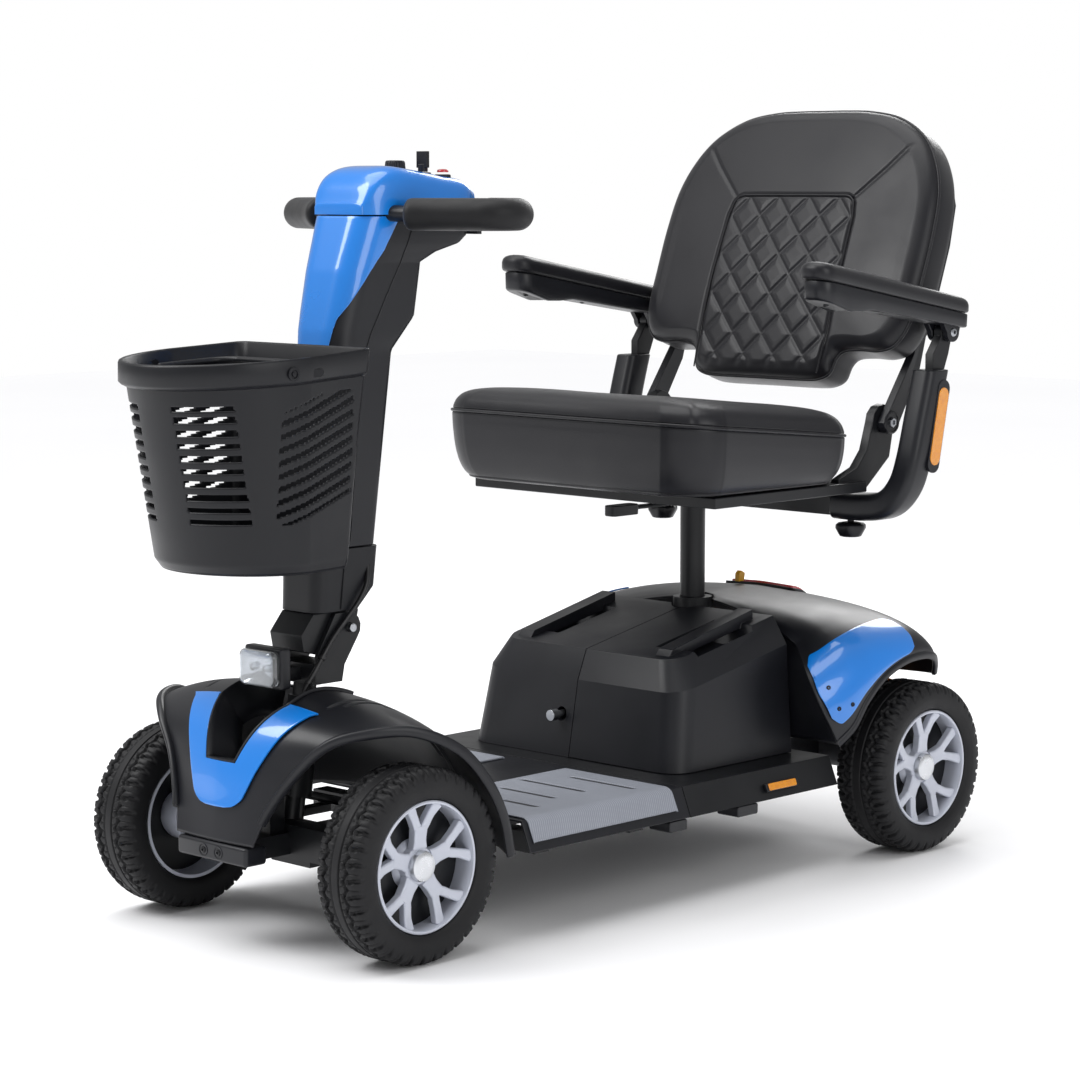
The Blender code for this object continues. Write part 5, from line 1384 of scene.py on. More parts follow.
def basket():
    """The basket's wall on a grid of height by turn, with slots cut as closed rows of cells.

    A slot is made of whole cells, three or four rows high, so its edges stay on the grid.
    """
    count = 410
    heights = np.linspace(0.4500, 0.6640, 112)
    shares = column(((0.448, 0.84, 0.060), (0.460, 0.87, 0.050), (0.665, 0.957, 0.010)), heights)
    grid = np.stack([basket_ring(z, s, o, count) for z, s, o in zip(heights, *shares)])
    centre = (grid[:-1, :-1] + grid[1:, 1:]) / 2
    x, offset = np.abs(centre[..., 0]), centre[..., 1] - FRONT_AXLE_Y
    z = heights[:-1, None] + 0 * x
    side_part = (offset > -0.109) & (offset < 0.004) & (x > 0.085)
    nose_row = np.abs((z - 0.5090) / SLOT_PITCH - np.round((z - 0.5090) / SLOT_PITCH)) < 0.24
    nose = (offset < -0.115) & (x > 0.030) & (x < 0.092) & (z > 0.506) & (z < 0.642) & nose_row
    tilt = z - 0.30 * (offset + 0.109)
    side_row = np.abs((tilt - 0.5300) / SLOT_PITCH - np.round((tilt - 0.5300) / SLOT_PITCH)) < 0.22
    side = side_part & (tilt > 0.500) & (tilt < 0.630) & (z < 0.648) & (z > 0.505) & side_row
    hole = nose | side
    wrapped = np.concatenate([hole, np.zeros((hole.shape[0], 1), bool)], axis=1)
    piece("basket_wall", grid, quads(*grid.shape[:2], wrap_columns=True, keep=~wrapped), polypropylene(),
          "basket", replaces=["basket"], away_from=(0, front_y(-0.10), 0.56), wall=0.0028, sharp=60)
    floor = basket_ring(0.4500, *[v.item() for v in map(np.asarray, column(BASKET_LEVELS, 0.4500))], 160)
    inner = floor.mean(axis=0)
    rings = np.stack([floor, inner + (floor - inner) * (0.985, 0.985, 1) - (0, 0, 0.0016),
                      inner + (floor - inner) * (0.5, 0.5, 1) - (0, 0, 0.0018),
                      inner + (floor - inner) * (0.02, 0.02, 1)
                      - (0, 0, 0.0018)])
    piece("basket_floor", rings, [*quads(4, 160, wrap_columns=True), 480 + np.arange(160)], polypropylene(),
          "basket", away_from=(0, front_y(-0.10), 0.70), wall=0.0028, sharp=50)
    outline = ((0.6610, 0.957, 0.009, 0.0), (0.6640, 0.985, 0.003, 0.0), (0.6670, 1.0, 0.0, 0.0),
               (0.6880, 1.0, 0.0, 0.0), (0.6902, 0.996, 0.001, 0.0), (0.6910, 0.988, 0.003, 0.0),
               (0.6906, 0.978, 0.005, 0.0006), (0.6890, 0.973, 0.006, 0.0014),
               (0.6650, 0.955, 0.0105, 0.0032),
               (0.6600, 0.950, 0.0110, 0.0034))
    rim_rows = np.stack([basket_ring(z, s, o, 240, inset) for z, s, o, inset in outline])
    piece("basket_rim", rim_rows, quads(*rim_rows.shape[:2], True, True), polypropylene(), "basket", sharp=50)


def basket_fittings():
    """The carrying bail, its bosses with pins, and the plates beside them."""
    pivot, far = front_y(-0.100), front_y(-0.004)
    x = BASKET_HALF * 0.955 - 0.003 - 0.010
    rise = lambda y: BASKET_TOP - 0.018 + (y - front_y(BASKET_NOSE)) * RIM_CLIMB
    corner = [(x, pivot), (x - 0.0008, far - 0.070), (x - 0.004, far - 0.040), (x - 0.010, far - 0.014),
              (x - 0.026, far - 0.0015), (x - 0.050, far)]
    plan = np.array(corner + [(-a, b) for a, b in reversed(corner)])
    plan = even_line(smooth_rows(plan, np.linspace(0, len(plan) - 1, 160)), 120)
    path = np.column_stack([plan, rise(plan[:, 1])])
    bar("basket_bail_wire", path, 0.0041, polypropylene(), "basket_bail", sides=20,
        replaces=["basket_bail"], round_ends=True)
    for side, sign in SIDES.items():
        at = (sign * 0.1262, pivot, rise(pivot) + 0.001)
        boss = [(-0.0070, 0), (-0.0070, 0.0070), (0.0030, 0.0082), (0.0036, 0.0074), (0.0036, 0.0050),
                (0.0018, 0.0046),
                (0.0018, 0.0030), (0.0030, 0.0026), (0.0032, 0)]
        turned("bail_boss_" + side, boss, at, (sign, 0, 0), polypropylene(), "basket", sides=40, sharp=30)
        outline = rounded_outline(0.0125, 0.0048, 0.0046, 8)
        place = lambda o, h, s=sign: np.stack([np.full(len(o), s * (0.1285 + h)), front_y(-0.068) + o[:, 0],
                                               0.6800 + o[:, 1] + RIM_CLIMB * o[:, 0]], axis=1)
        plate("rim_plate_" + side, outline, place, -0.002, 0.0012, polypropylene(), "basket", bevel=0.0006)


class BuildBasket(Operator):
    """Build the slotted basket, its bail and fittings"""

    bl_idname = "scooter.basket"
    bl_label = "Basket"

    def execute(self, context):
        basket()
        basket_fittings()
        return {"FINISHED"}


# ---------------------------------------------------------------- seat, back and arms

SEAT_BOTTOM = 0.500
SEAT_SLOPE = 0.095
SEAT_MIDDLE = -0.229
SEAT_SECTION = ((0.00, 0.0000, 0.00), (0.50, 0.0000, 0.00), (0.84, 0.0003, 0.00), (0.915, 0.0040, 0.04),
                (0.958, 0.0150, 0.16), (0.985, 0.0320, 0.45), (0.998, 0.0520, 0.80), (1.002, 0.0670, 0.95),
                (1.002, 0.0760, 1.00), (0.994, 0.0850, 1.00), (0.975, 0.0935, 1.00), (0.938, 0.1010, 1.00),
                (0.870, 0.1065, 1.00), (0.740, 0.1105, 1.00), (0.480, 0.1130, 1.00), (0.00, 0.1135, 1.00))
SEAT_SEAM_ROW = 8.0


def seat_outline(count):
    """The seat from above: round front corners, and rear corners cut in for the back's brackets."""
    half, front, rear = 0.235, rear_y(-0.420), rear_y(-0.038)
    corner = arc((half - 0.065, front + 0.065), 0.065, -90, 0, 14)
    key = np.vstack([[(0.0, front)], [(0.10, front)], corner, [(half, front + 0.15), (half, rear - 0.110),
                     (half - 0.005, rear - 0.085), (half - 0.018, rear - 0.066), (half - 0.048, rear - 0.048),
                     (half - 0.060, rear - 0.030), (half - 0.064, rear - 0.012), (half - 0.080, rear - 0.001),
                     (half - 0.100, rear), (0.0, rear)]])
    half_line = even_line(smooth_rows(key, np.linspace(0, len(key) - 1, 600)), count // 2 + 1)
    return np.vstack([half_line, half_line[-2:0:-1] * (-1, 1)])


def cushion_rings(outline, rows, middle):
    """Rings of an outline scaled about its middle by each row's share, raised by the seat's slope."""
    share, rise, slope = rows.T
    flat = middle + (outline[None] - middle) * share[:, None, None]
    z = SEAT_BOTTOM + rise[:, None] + SEAT_SLOPE * slope[:, None] * (rear_y(SEAT_MIDDLE) - flat[..., 1])
    return np.dstack([flat, z])


def seat_point_rows(places, count):
    """Rings of the seat at these places along its section, each the outline drawn in and raised."""
    rows = smooth_rows(SEAT_SECTION, places)
    return cushion_rings(seat_outline(count), rows, np.array([0.0, rear_y(SEAT_MIDDLE)]))


def stitches(name, path, normal, pitch, body, **options):
    """A row of thread stitches: each a short five-sided spindle lying along the path, sunk by a third."""
    run = np.concatenate([[0], np.cumsum(np.linalg.norm(np.diff(path, axis=0), axis=1))])
    count = int(run[-1] / pitch)
    at = np.linspace(0, run[-1], count, endpoint=False) + pitch / 2
    centre = np.stack([np.interp(at, run, path[:, k]) for k in range(3)], axis=1)
    ahead = np.gradient(centre, axis=0)
    ahead /= np.linalg.norm(ahead, axis=1, keepdims=True)
    out = np.stack([np.interp(at, run, normal[:, k]) for k in range(3)], axis=1)
    out -= ahead * (out * ahead).sum(axis=1, keepdims=True)
    out /= np.linalg.norm(out, axis=1, keepdims=True)
    side = np.cross(ahead, out)
    turn = np.linspace(0, 2 * pi, 5, endpoint=False)
    along = np.array([-0.40, -0.25, 0.25, 0.40]) * pitch
    thick = np.array([0.15, 1.0, 1.0, 0.15]) * 0.00042
    ring = (np.cos(turn)[:, None] * out[:, None, None] + np.sin(turn)[:, None] * side[:, None, None])
    points = centre[:, None, None] + along[None, :, None, None] * ahead[:, None, None] + thick[None, :, None,
                                                                                               None] * ring
    base = quads(4, 5, wrap_columns=True)
    faces = [f for k in range(count) for f in (*(base + 20 * k), 20 * k + np.arange(5),
                                               20 * k + 15 + np.arange(5))]
    return piece(name, points, faces, thread(), body, sharp=80, **options)


def seat():
    """The seat: rings from under it over its sides to a crowned top, drawn in at its welted seams."""
    count = 480
    places = np.unique(np.concatenate([np.linspace(1, 14.6, 100), np.linspace(7.6, 8.4, 20)]))
    grid = seat_point_rows(places, count)
    rows = smooth_rows(SEAT_SECTION, places)
    outline = seat_outline(count)
    normal = normals_of(np.concatenate([grid[:, -1:], grid, grid[:, :1]], axis=1))[:, 1:-1]
    middle = np.array([0, rear_y(SEAT_MIDDLE), 0.56])
    normal *= np.sign((normal * (grid - middle)).sum(axis=2).mean())
    height = rows[:, 1:2]
    dent = 0.0016 * groove(height - 0.0760, 0.0008, 0.0034) * (rows[:, 2:3] > 0.9) * (rows[:, 0:1] > 0.98)
    tip = outline[np.argmin(np.abs(outline - (0.216, rear_y(-0.401))).sum(axis=1))]
    near = np.minimum(*(np.linalg.norm(outline * (sign, 1) - tip, axis=1) for sign in (1, -1)))[None]
    above = np.clip((height - 0.0765) / 0.004, 0, 1) * np.clip((rows[:, 0:1] - 0.80) / 0.05, 0, 1)
    dent = dent + 0.0014 * above * groove(near, 0.0006, 0.0040)
    hollow = 0.0045 * np.exp(-((grid[..., 0] / 0.12) ** 2 + ((grid[..., 1] - rear_y(-0.20)) / 0.12) ** 2)) * (
        grid[..., 2] > 0.58)
    grid = grid - normal * (dent + hollow)[..., None]
    crown = grid[-1].mean(axis=0)
    close = np.linspace(0, 1, 26)[1:, None, None]
    top = grid[-1][None] + (crown - grid[-1])[None] * close * 0.995
    grid = np.concatenate([grid, top])
    rows_, columns = grid.shape[:2]
    faces = [*quads(rows_, columns, wrap_columns=True), np.arange(columns),
             (rows_ - 1) * columns + np.arange(columns)]
    made = piece("seat_cushion_upholstered", grid, faces, vinyl(), "seat",
                 replaces=["seat_cushion"], sharp=75)
    seam = seat_point_rows(np.array([7.55, 7.80, SEAT_SEAM_ROW]), 480)
    out = seam[2] - middle
    out[:, 2] = 0
    out /= np.linalg.norm(out, axis=1, keepdims=True)
    bar("seat_welt", seam[2] + out * 0.0002, sizes().piping, vinyl(), "seat", sides=10, closed=True)
    line = np.vstack([seam[1], seam[1][:1]])
    stitches("seat_stitches", line + np.vstack([out, out[:1]]) * 0.0001, np.vstack([out, out[:1]]), 0.0062,
             "seat")
    bottom = seat_point_rows(np.array([3.0]), 480)[0]
    bar("seat_hem", bottom, 0.0016, vinyl(), "seat", sides=8, closed=True)


BACK_TILT = radians(20.5)
BACK_HEIGHT = 0.391
BACK_OUTLINE = ((0.000, 0.080), (0.003, 0.106), (0.012, 0.120), (0.032, 0.125), (0.043, 0.136),
                (0.046, 0.162),
                (0.046, 0.196), (0.057, 0.220), (0.092, 0.235), (0.150, 0.237), (0.213, 0.237),
                (0.271, 0.231),
                (0.318, 0.212), (0.354, 0.182), (0.379, 0.137), (0.389, 0.086), (0.391, 0.040))
BACK_CENTRE = 0.200
PANEL = ((0.006, 0.110), (0.060, 0.113), (0.150, 0.113), (0.230, 0.111), (0.260, 0.108))


def back_place(x, up, depth):
    """A point of the reclined back: up along it from its foot, depth behind its front face."""
    return np.stack([x, rear_y(-0.034) + up * sin(BACK_TILT) + depth * cos(BACK_TILT),
                     0.634 + up * cos(BACK_TILT) - depth * sin(BACK_TILT)], axis=-1)


def back_outline(count):
    """The back pad's outline: a smooth curve through its half widths, evenly spaced and mirrored."""
    key = np.array([(0.0, 0.0), *((half, up) for up, half in BACK_OUTLINE), (0.0, BACK_HEIGHT)])
    half = even_line(smooth_rows(key, np.linspace(0, len(key) - 1, 700)), count // 2 + 1)
    half[:, 0] = np.maximum(half[:, 0], 0)
    return np.vstack([half, half[-2:0:-1] * (-1, 1)])


def panel_edges():
    """The quilted panel's outline: narrower at its top, with small round corners there."""
    up, half = np.array(PANEL).T
    corner = arc((half[-1] - 0.018, up[-1] - 0.018), 0.018, 0, 90, 8)
    right = np.vstack([np.stack([half[:-1], up[:-1]], axis=1), corner])
    return np.vstack([right, right[::-1] * (-1, 1)])


def distance_to(line, x, up):
    """The smallest distance from each point to a line through points, as whole arrays over its segments."""
    best = np.full(np.shape(x), 1.0)
    for a, b in zip(line[:-1], line[1:]):
        way = b - a
        t = np.clip(((x - a[0]) * way[0] + (up - a[1]) * way[1]) / (way @ way), 0, 1)
        best = np.minimum(best, np.hypot(x - a[0] - t * way[0], up - a[1] - t * way[1]))
    return best


def lumbar_swell(x, up):
    """The forward swell at the small of the back: a bell curve upwards, fading as 1 - x^2 to each side."""
    return 0.004 * np.exp(-(((up - 0.13) / 0.09) ** 2)) * np.clip(1 - (x / 0.20) ** 2, 0, 1)


def backrest():
    """The back: rings from its rear over rounded sides to a crowned face, then pushed in along its seams.

    Inside the panel the face swells in diamonds, lowest where either family of slanted lines runs.
    """
    count = 520
    shares = np.concatenate([[0.90, 0.97, 0.992, 1.0, 1.003, 1.004, 1.004, 1.002, 0.998, 0.990, 0.978, 0.962,
                              0.940, 0.915],
                             np.linspace(0.90, 0.012, 150)])
    depths = np.concatenate([[0.0600, 0.0600, 0.0592, 0.0565, 0.050, 0.042, 0.034, 0.026, 0.0195, 0.0140,
                              0.0098, 0.0066,
                              0.0040, 0.0022], 0.0012 - 0.0042 * (1 - np.linspace(1, 0.0, 150) ** 2)])
    outline = back_outline(count)
    centre = np.array([0.0, BACK_CENTRE])
    flat = centre + (outline[None] - centre) * shares[:, None, None]
    x, up = flat[..., 0], flat[..., 1]
    depth = np.broadcast_to(depths[:, None], x.shape).copy()
    face = np.clip((shares[:, None] - 0.93) / -0.02, 0, 1) * (np.arange(len(shares))[:, None] > 12)
    outline_of_panel = panel_edges()
    edge = distance_to(outline_of_panel, x, up)
    inside = (np.abs(x) < np.interp(up, *np.array(PANEL).T)) & (up < PANEL[-1][0]) & (up > 0.004)
    pitch = sizes().quilt_pitch
    first, second = x / pitch + up / (pitch * 1.08), x / pitch - up / (pitch * 1.08)
    fold = lambda v: np.abs(v - np.round(v)) * 2
    swell = np.minimum(fold(first), fold(second))
    quilt = 0.0015 * groove(swell * pitch * 0.34, 0.0004, 0.0040) - 0.0007 * np.clip(swell * 2, 0, 1) ** 2
    depth += face * inside * np.clip((edge - 0.001) / 0.006, 0, 1) * quilt
    depth += face * 0.0022 * groove(edge, 0.0008, 0.0042)
    corner = np.array([(0.104, 0.256), (0.150, 0.302), (0.194, 0.352)])
    foot = np.array([(0.110, 0.010), (0.106, -0.02)])
    for line, dip in ((corner, 0.0020), (foot, 0.0018)):
        for sign in (1, -1):
            depth += face * dip * groove(distance_to(line * (sign, 1), x, up), 0.0006, 0.0040)
    depth -= face * lumbar_swell(x, up)
    grid = back_place(x, up, depth)
    rows, columns = grid.shape[:2]
    faces = [*quads(rows, columns, wrap_columns=True), np.arange(columns),
             (rows - 1) * columns + np.arange(columns)]
    made = piece("back_cushion_upholstered", grid, faces, vinyl(), "back",
                 replaces=["back_cushion"], sharp=75)
    edge_line = centre + (back_outline(520) - centre) * 0.999
    bar("back_welt", back_place(edge_line[:, 0], edge_line[:, 1], np.full(len(edge_line), 0.0190)),
        sizes().piping, vinyl(), "back", sides=10, closed=True)
    panel = even_line(outline_of_panel, 200)
    x, up = panel.T
    bulge = 0.0004 - 0.0042 * (1 - np.hypot(x / 0.237, (up - 0.2) / 0.2) ** 2) - lumbar_swell(x, up)
    path = back_place(x, up, bulge + 0.0014)
    bar("panel_welt", path, 0.0011, vinyl(), "back", sides=8)


def seat_hardware():
    """Frame, post, levers and shells with rounded edges, with a pivot bolt at each of the back's hinges."""
    for node, finish, width in (("seat_post", powder_coat(), 0.0008), ("seat_frame", powder_coat(), 0.0015),
                                ("swivel_lever", powder_coat(), 0.0015),
                                ("back_frame", moulded_abs(), 0.0022)):
        refined(node, finish, bevel=width)
    hinge_y, hinge_z = rear_y(-0.004), 0.576
    for side, sign in SIDES.items():
        head = [(-0.001, 0), (-0.001, 0.0150), (0.0004, 0.0158), (0.0014, 0.0150), (0.0016, 0.0130),
                (0.0005, 0.0122),
                (0.0003, 0.0090), (0.0003, 0)]
        turned("hinge_cap_" + side, head, (sign * 0.2194, hinge_y, hinge_z), (sign, 0, 0), moulded_abs(),
               "back", sides=40, sharp=30)
        bolt = [(-0.001, 0), (-0.001, 0.0068), (0.0024, 0.0068), (0.0032, 0.0058), (0.0032, 0.0034),
                (0.0012, 0.0030),
                (0.0012, 0)]
        turned("hinge_bolt_" + side, bolt, (sign * 0.2200, hinge_y, hinge_z), (sign, 0, 0), zinc_plate(),
               "back", sides=6, sharp=30)


ARM_ROUTE = ((0.1500, -0.0270, 0.4625), (0.1960, -0.0270, 0.4625), (0.2340, -0.0262, 0.4690),
             (0.2565, -0.0225, 0.4930),
             (0.2650, -0.0155, 0.5290), (0.2670, 0.0000, 0.5900), (0.2670, 0.0170, 0.6480))
ARM_PIVOT = (0.046, 0.697)


def arm_line(y, rise):
    """Height of an armrest at y: it climbs 0.17 per unit forward of its pivot, plus rise."""
    return ARM_PIVOT[1] + 0.028 + (rear_y(ARM_PIVOT[0]) - y) * 0.170 + rise


def arm_plan(inner, outer, nose, rear, inset, nose_radius=0.021, rear_radius=0.007):
    """An armrest from above: a long oblong with a round nose, drawn in by inset."""
    half, middle = (outer - inner) / 2 - inset, (inner + outer) / 2
    r, q = max(nose_radius - inset * 0.5, 0.004), max(rear_radius - inset * 0.5, 0.002)
    front, back = nose + inset, rear - inset
    line = np.vstack([arc((middle + half - r, front + r), r, -90, 0, 10),
                      arc((middle + half - q, back - q), q, 0, 90, 6),
                      arc((middle - half + q, back - q), q, 90, 180, 6),
                      arc((middle - half + r, front + r), r, 180, 270, 10)])
    return even_line(line, 150, closed=True)


def arms():
    """Each arm: a casting swept along its route, a forked hinge, a moulded base and a padded top."""
    pivot_y, pivot_z = rear_y(ARM_PIVOT[0]), ARM_PIVOT[1]
    nose, rear = rear_y(-0.242), pivot_y + 0.024
    for side, sign in SIDES.items():
        route = smooth_rows(ARM_ROUTE, np.linspace(0, 6, 72))
        ahead = np.gradient(route[:, (0, 2)], axis=0)
        ahead /= np.linalg.norm(ahead, axis=1, keepdims=True)
        section = rounded_outline(0.0225, 0.0183, 0.0115, 6)
        rings = np.stack([np.stack([sign * (x - section[:, 1] * dz), rear_y(y + section[:, 0]),
                                    z + section[:, 1] * dx],
                                   axis=1) for (x, y, z), (dx, dz) in zip(route, ahead)])
        loft("arm_support_%s_cast" % side, rings, moulded_abs(), "arm_" + side,
             replaces=["arm_support_" + side], bevel=0.002, sharp=50)
        neck = [(pivot_y - 0.030, 0.640), (pivot_y - 0.008, 0.640), (pivot_y + 0.004, 0.668),
                *arc((pivot_y, pivot_z), 0.012, -20, 200, 12), (pivot_y - 0.030, 0.668)]
        place = lambda o, x, s=sign: np.column_stack([np.full(len(o), s * x), o])
        plate("arm_neck_" + side, neck, place, 0.2582, 0.2718, powder_coat(), "arm_" + side, bevel=0.0010)
        base_nose = nose + 0.006
        depth_at = lambda y: np.interp(y, (base_nose, base_nose + 0.012, nose + 0.060, nose + 0.085,
                                           nose + 0.110, rear),
                                       (0.0250, 0.0265, 0.0325, 0.0290, 0.0235, 0.0190))
        levels = ((0.0, 0.0022), (0.03, 0.0006), (0.08, 0.0), (0.88, 0.0004), (0.95, 0.0014), (0.99, 0.0032),
                  (1.0, 0.0056))
        base = []
        for share, inset in levels:
            plan = arm_plan(0.2445, 0.2905, base_nose, rear, inset, nose_radius=0.019)
            z = arm_line(plan[:, 1], -0.0002 - share * depth_at(plan[:, 1]))
            base.append(np.column_stack([sign * plan[:, 0], plan[:, 1], z]))
        loft("armrest_%s_base" % side, base, moulded_abs(), "armrest_" + side,
             replaces=["armrest_" + side], sharp=45)
        cheek = [*arc((pivot_y, pivot_z), 0.013, 180, 360, 14), (pivot_y + 0.018, pivot_z + 0.018),
                 (pivot_y - 0.030, pivot_z + 0.024)]
        for k, (low, high) in enumerate(((0.2475, 0.2565), (0.2735, 0.2825))):
            plate("arm_cheek_%s_%d" % (side, k), cheek, place, low, high, moulded_abs(), "armrest_" + side,
                  bevel=0.0010)
        screw("arm_pivot_bolt_" + side, (sign * 0.2826, pivot_y, pivot_z), (sign, 0, 0), "armrest_" + side,
              radius=0.0060)
        for k, back_by in enumerate((0.035, 0.115, 0.150)):
            y = nose + back_by
            at = (sign * 0.2675, y, arm_line(y, -0.0002 - float(depth_at(y))) + 0.0006)
            screw("arm_base_screw_%s_%d" % (side, k), at, (0, 0.17, -1), "armrest_" + side, radius=0.0040,
                  finish=powder_coat())
        pad_levels = ((0.0006, 0.0030), (0.0016, 0.0010), (0.0045, 0.0), (0.0125, 0.0), (0.0170, 0.0012),
                      (0.0205, 0.0038),
                      (0.0228, 0.0078), (0.0240, 0.0120), (0.0246, 0.0165), (0.0249, 0.0210),
                      (0.0250, 0.0238))
        pad = []
        for rise, inset in pad_levels:
            plan = arm_plan(0.2425, 0.2925, nose, rear, inset)
            fall = 1 - 0.10 * (plan[:, 1] - nose) / (rear - nose)
            pad.append(np.column_stack([sign * plan[:, 0], plan[:, 1],
                                        arm_line(plan[:, 1], 0.0006 + (rise - 0.0006) * fall)]))
        made = loft("arm_pad_%s_upholstered" % side, pad, vinyl(), "armrest_" + side,
                    replaces=["arm_pad_" + side], sharp=70)
        top = smooth_rows(((0.2857, 0.022, 0.623), (0.2850, 0.001, 0.524)), (0, 1))
        centre, way = top.mean(axis=0), top[0] - top[1]
        length = np.linalg.norm(way[1:])
        long, across = way[1:] / length, np.array((way[2], -way[1])) / length
        stadium = np.vstack([arc((length / 2 - 0.004, 0), 0.0115, -90, 90, 10),
                             arc((-length / 2 + 0.004, 0), 0.0115, 90, 270, 10)])
        for part, scale, low, high, finish in (("", 0.90, 0.0, 0.0022, amber_lens()),
                                               ("_tray", 1.08, -0.0030, 0.0010, moulded_abs())):
            spot = lambda o, h, s=sign, k=scale: np.column_stack([
                np.full(len(o), s * (0.2856 + h)), rear_y(centre[1]) + k * (o[:, 0] * long[0]
                                                                            + o[:, 1] * across[0]),
                centre[2] + k * (o[:, 0] * long[1] + o[:, 1] * across[1])])
            plate("arm_reflector_%s%s" % (side, part), stadium, spot, low, high, finish, "arm_" + side,
                  bevel=0.0006)
        knob_low, knob_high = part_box("arm_knob_" + side)
        knob_x, knob_y = (knob_low.x + knob_high.x) / 2, (knob_low.y + knob_high.y) / 2
        turn = np.linspace(0, 2 * pi, 96, endpoint=False)[:, None]
        profile = np.array([(0.4474, 0.0, 0), (0.4474, 0.0044, 0), (0.4405, 0.0044, 0), (0.4400, 0.0100, 0),
                            (0.4385, 0.0180, 0.4), (0.4360, 0.0212, 1), (0.4320, 0.0215, 1),
                            (0.4240, 0.0170, 0.8),
                            (0.4210, 0.0150, 0.4), (0.4201, 0.0120, 0), (0.4200, 0.0, 0)])
        reach = profile[None, :, 1] * (1 - 0.07 * profile[None, :, 2] * (1 - np.cos(6 * turn)) / 2)
        grid = np.stack([knob_x + reach * np.cos(turn), knob_y + reach * np.sin(turn),
                         np.broadcast_to(profile[:, 0], reach.shape)], axis=2)
        piece("arm_knob_%s_lobed" % side, grid, quads(*grid.shape[:2], wrap_rows=True), polypropylene(),
              "arm_knob_" + side, replaces=["arm_knob_" + side], sharp=40)


class BuildSeat(Operator):
    """Build the seat, back, armrests and their hardware"""

    bl_idname = "scooter.seat"
    bl_label = "Seat"

    def execute(self, context):
        seat()
        backrest()
        seat_hardware()
        arms()
        return {"FINISHED"}


# ---------------------------------------------------------------- stage

def camera_at(place, azimuth, elevation, lens):
    """A camera that looks down by elevation, from azimuth round the vertical, with a lens in millimetres."""
    data = bpy.data.cameras.new("studio_camera")
    data.lens, data.sensor_width = lens, 36.0
    data.clip_start, data.clip_end = 0.05, 60.0
    made = bpy.data.objects.new("studio_camera", data)
    bpy.context.scene.collection.objects.link(made)
    back = Vector((sin(azimuth) * cos(elevation), -cos(azimuth) * cos(elevation), sin(elevation)))
    made.location = place
    made.rotation_euler = (-back).to_track_quat("-Z", "Y").to_euler()
    bpy.context.scene.camera = made


def soft_light(name, place, target, width, power):
    """A round area lamp at place, turned so that its -Z axis points at target."""
    data = bpy.data.lights.new(name, "AREA")
    data.shape, data.size, data.energy = "DISK", width, power
    made = bpy.data.objects.new(name, data)
    bpy.context.scene.collection.objects.link(made)
    made.location = place
    made.rotation_euler = (Vector(target) - Vector(place)).to_track_quat("-Z", "Y").to_euler()


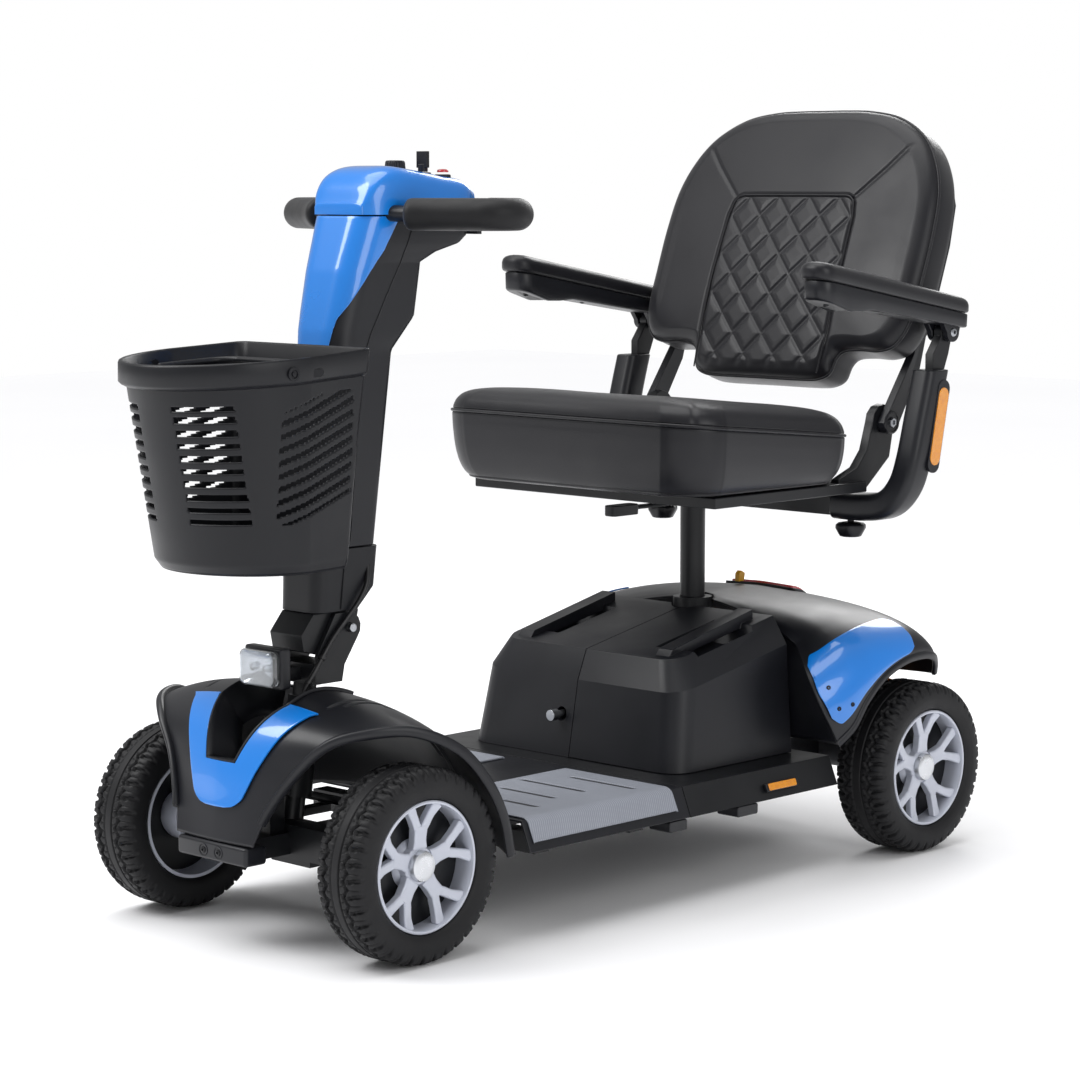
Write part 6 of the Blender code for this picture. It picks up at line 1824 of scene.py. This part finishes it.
class BuildStage(Operator):
    """Build the pale floor, the soft studio light and the camera"""

    bl_idname = "scooter.stage"
    bl_label = "Stage"

    def execute(self, context):
        scene = context.scene
        world = bpy.data.worlds.new("studio_white")
        world.use_nodes = True
        sky = world.node_tree.nodes["Background"]
        sky.inputs["Color"].default_value = (1.0, 1.0, 1.0, 1.0)
        ray = add(world.node_tree, "ShaderNodeLightPath").outputs["Is Camera Ray"]
        fill = add(world.node_tree, "ShaderNodeMapRange", {"To Min": 0.42, "To Max": 1.0}, {"Value": ray})
        world.node_tree.links.new(fill.outputs["Result"], sky.inputs["Strength"])
        scene.world = world
        scene.view_settings.view_transform = "Standard"
        floor = bpy.data.materials.new("studio_floor")
        floor.use_nodes = True
        tree = floor.node_tree
        shader = tree.nodes["Principled BSDF"]
        place = add(tree, "ShaderNodeTexCoord").outputs["Object"]
        dust = add(tree, "ShaderNodeTexNoise", {"Scale": 0.8, "Detail": 2.0}, {"Vector": place})
        shade = add(tree, "ShaderNodeMix", {"data_type": "RGBA", 6: linear("#FBFBFC"), 7: linear("#F6F6F8")},
                    {0: dust.outputs["Fac"]})
        tree.links.new(shade.outputs[2], shader.inputs["Base Color"])
        shader.inputs["Roughness"].default_value = 0.75
        mesh = bpy.data.meshes.new("floor")
        reach, ground = 9.0, -0.0006
        mesh.from_pydata([(-reach, -reach, ground), (reach, -reach, ground), (reach, reach, ground),
                          (-reach, reach, ground)], [], [(0, 1, 2, 3)])
        mesh.materials.append(floor)
        ground_plane = bpy.data.objects.new("floor", mesh)
        scene.collection.objects.link(ground_plane)
        target = (0, 0, 0.45)
        soft_light("key_light", (-1.6, -2.4, 2.9), target, 1.8, 60)
        soft_light("fill_light", (3.0, -0.6, 1.7), target, 2.0, 26)
        sky_light = bpy.data.lights.new("ceiling_light", "SUN")
        sky_light.energy, sky_light.angle = 2.1, radians(60)
        ceiling = bpy.data.objects.new("ceiling_light", sky_light)
        ceiling.rotation_euler = (radians(8), radians(-10), 0)
        scene.collection.objects.link(ceiling)
        soft_light("rim_light", (-1.2, 2.8, 2.2), target, 1.6, 34)
        camera_at((2.6952, front_y(-2.3555), 0.8915), radians(44.044), radians(6.681), 100.9)
        return {"FINISHED"}


OPERATORS = (BuildStage, BuildWheels, BuildNose, BuildFloor, BuildRear, BuildTiller, BuildBasket, BuildSeat)


class ScooterPanel(Panel):
    """The builder's sidebar"""

    bl_idname = "SCOOTER_PT_builder"
    bl_label = "Mobility scooter"
    bl_space_type = "VIEW_3D"
    bl_region_type = "UI"
    bl_category = "Scooter"

    def draw(self, context):
        for group in (context.scene.scooter_sizes, context.scene.scooter_colours):
            for name in group.__annotations__:
                self.layout.prop(group, name)
        for step in OPERATORS:
            self.layout.operator(step.bl_idname)


CLASSES = (ScooterColours, ScooterSizes, *OPERATORS, ScooterPanel)


def register():
    for cls in CLASSES:
        bpy.utils.register_class(cls)
    bpy.types.Scene.scooter_colours = PointerProperty(type=ScooterColours)
    bpy.types.Scene.scooter_sizes = PointerProperty(type=ScooterSizes)


def unregister():
    del bpy.types.Scene.scooter_sizes
    del bpy.types.Scene.scooter_colours
    for cls in reversed(CLASSES):
        bpy.utils.unregister_class(cls)


def main():
    """Runs every step in turn."""
    register()
    for step in OPERATORS:
        group, name = step.bl_idname.split(".")
        getattr(getattr(bpy.ops, group), name)()


if __name__ == "__main__":
    main()
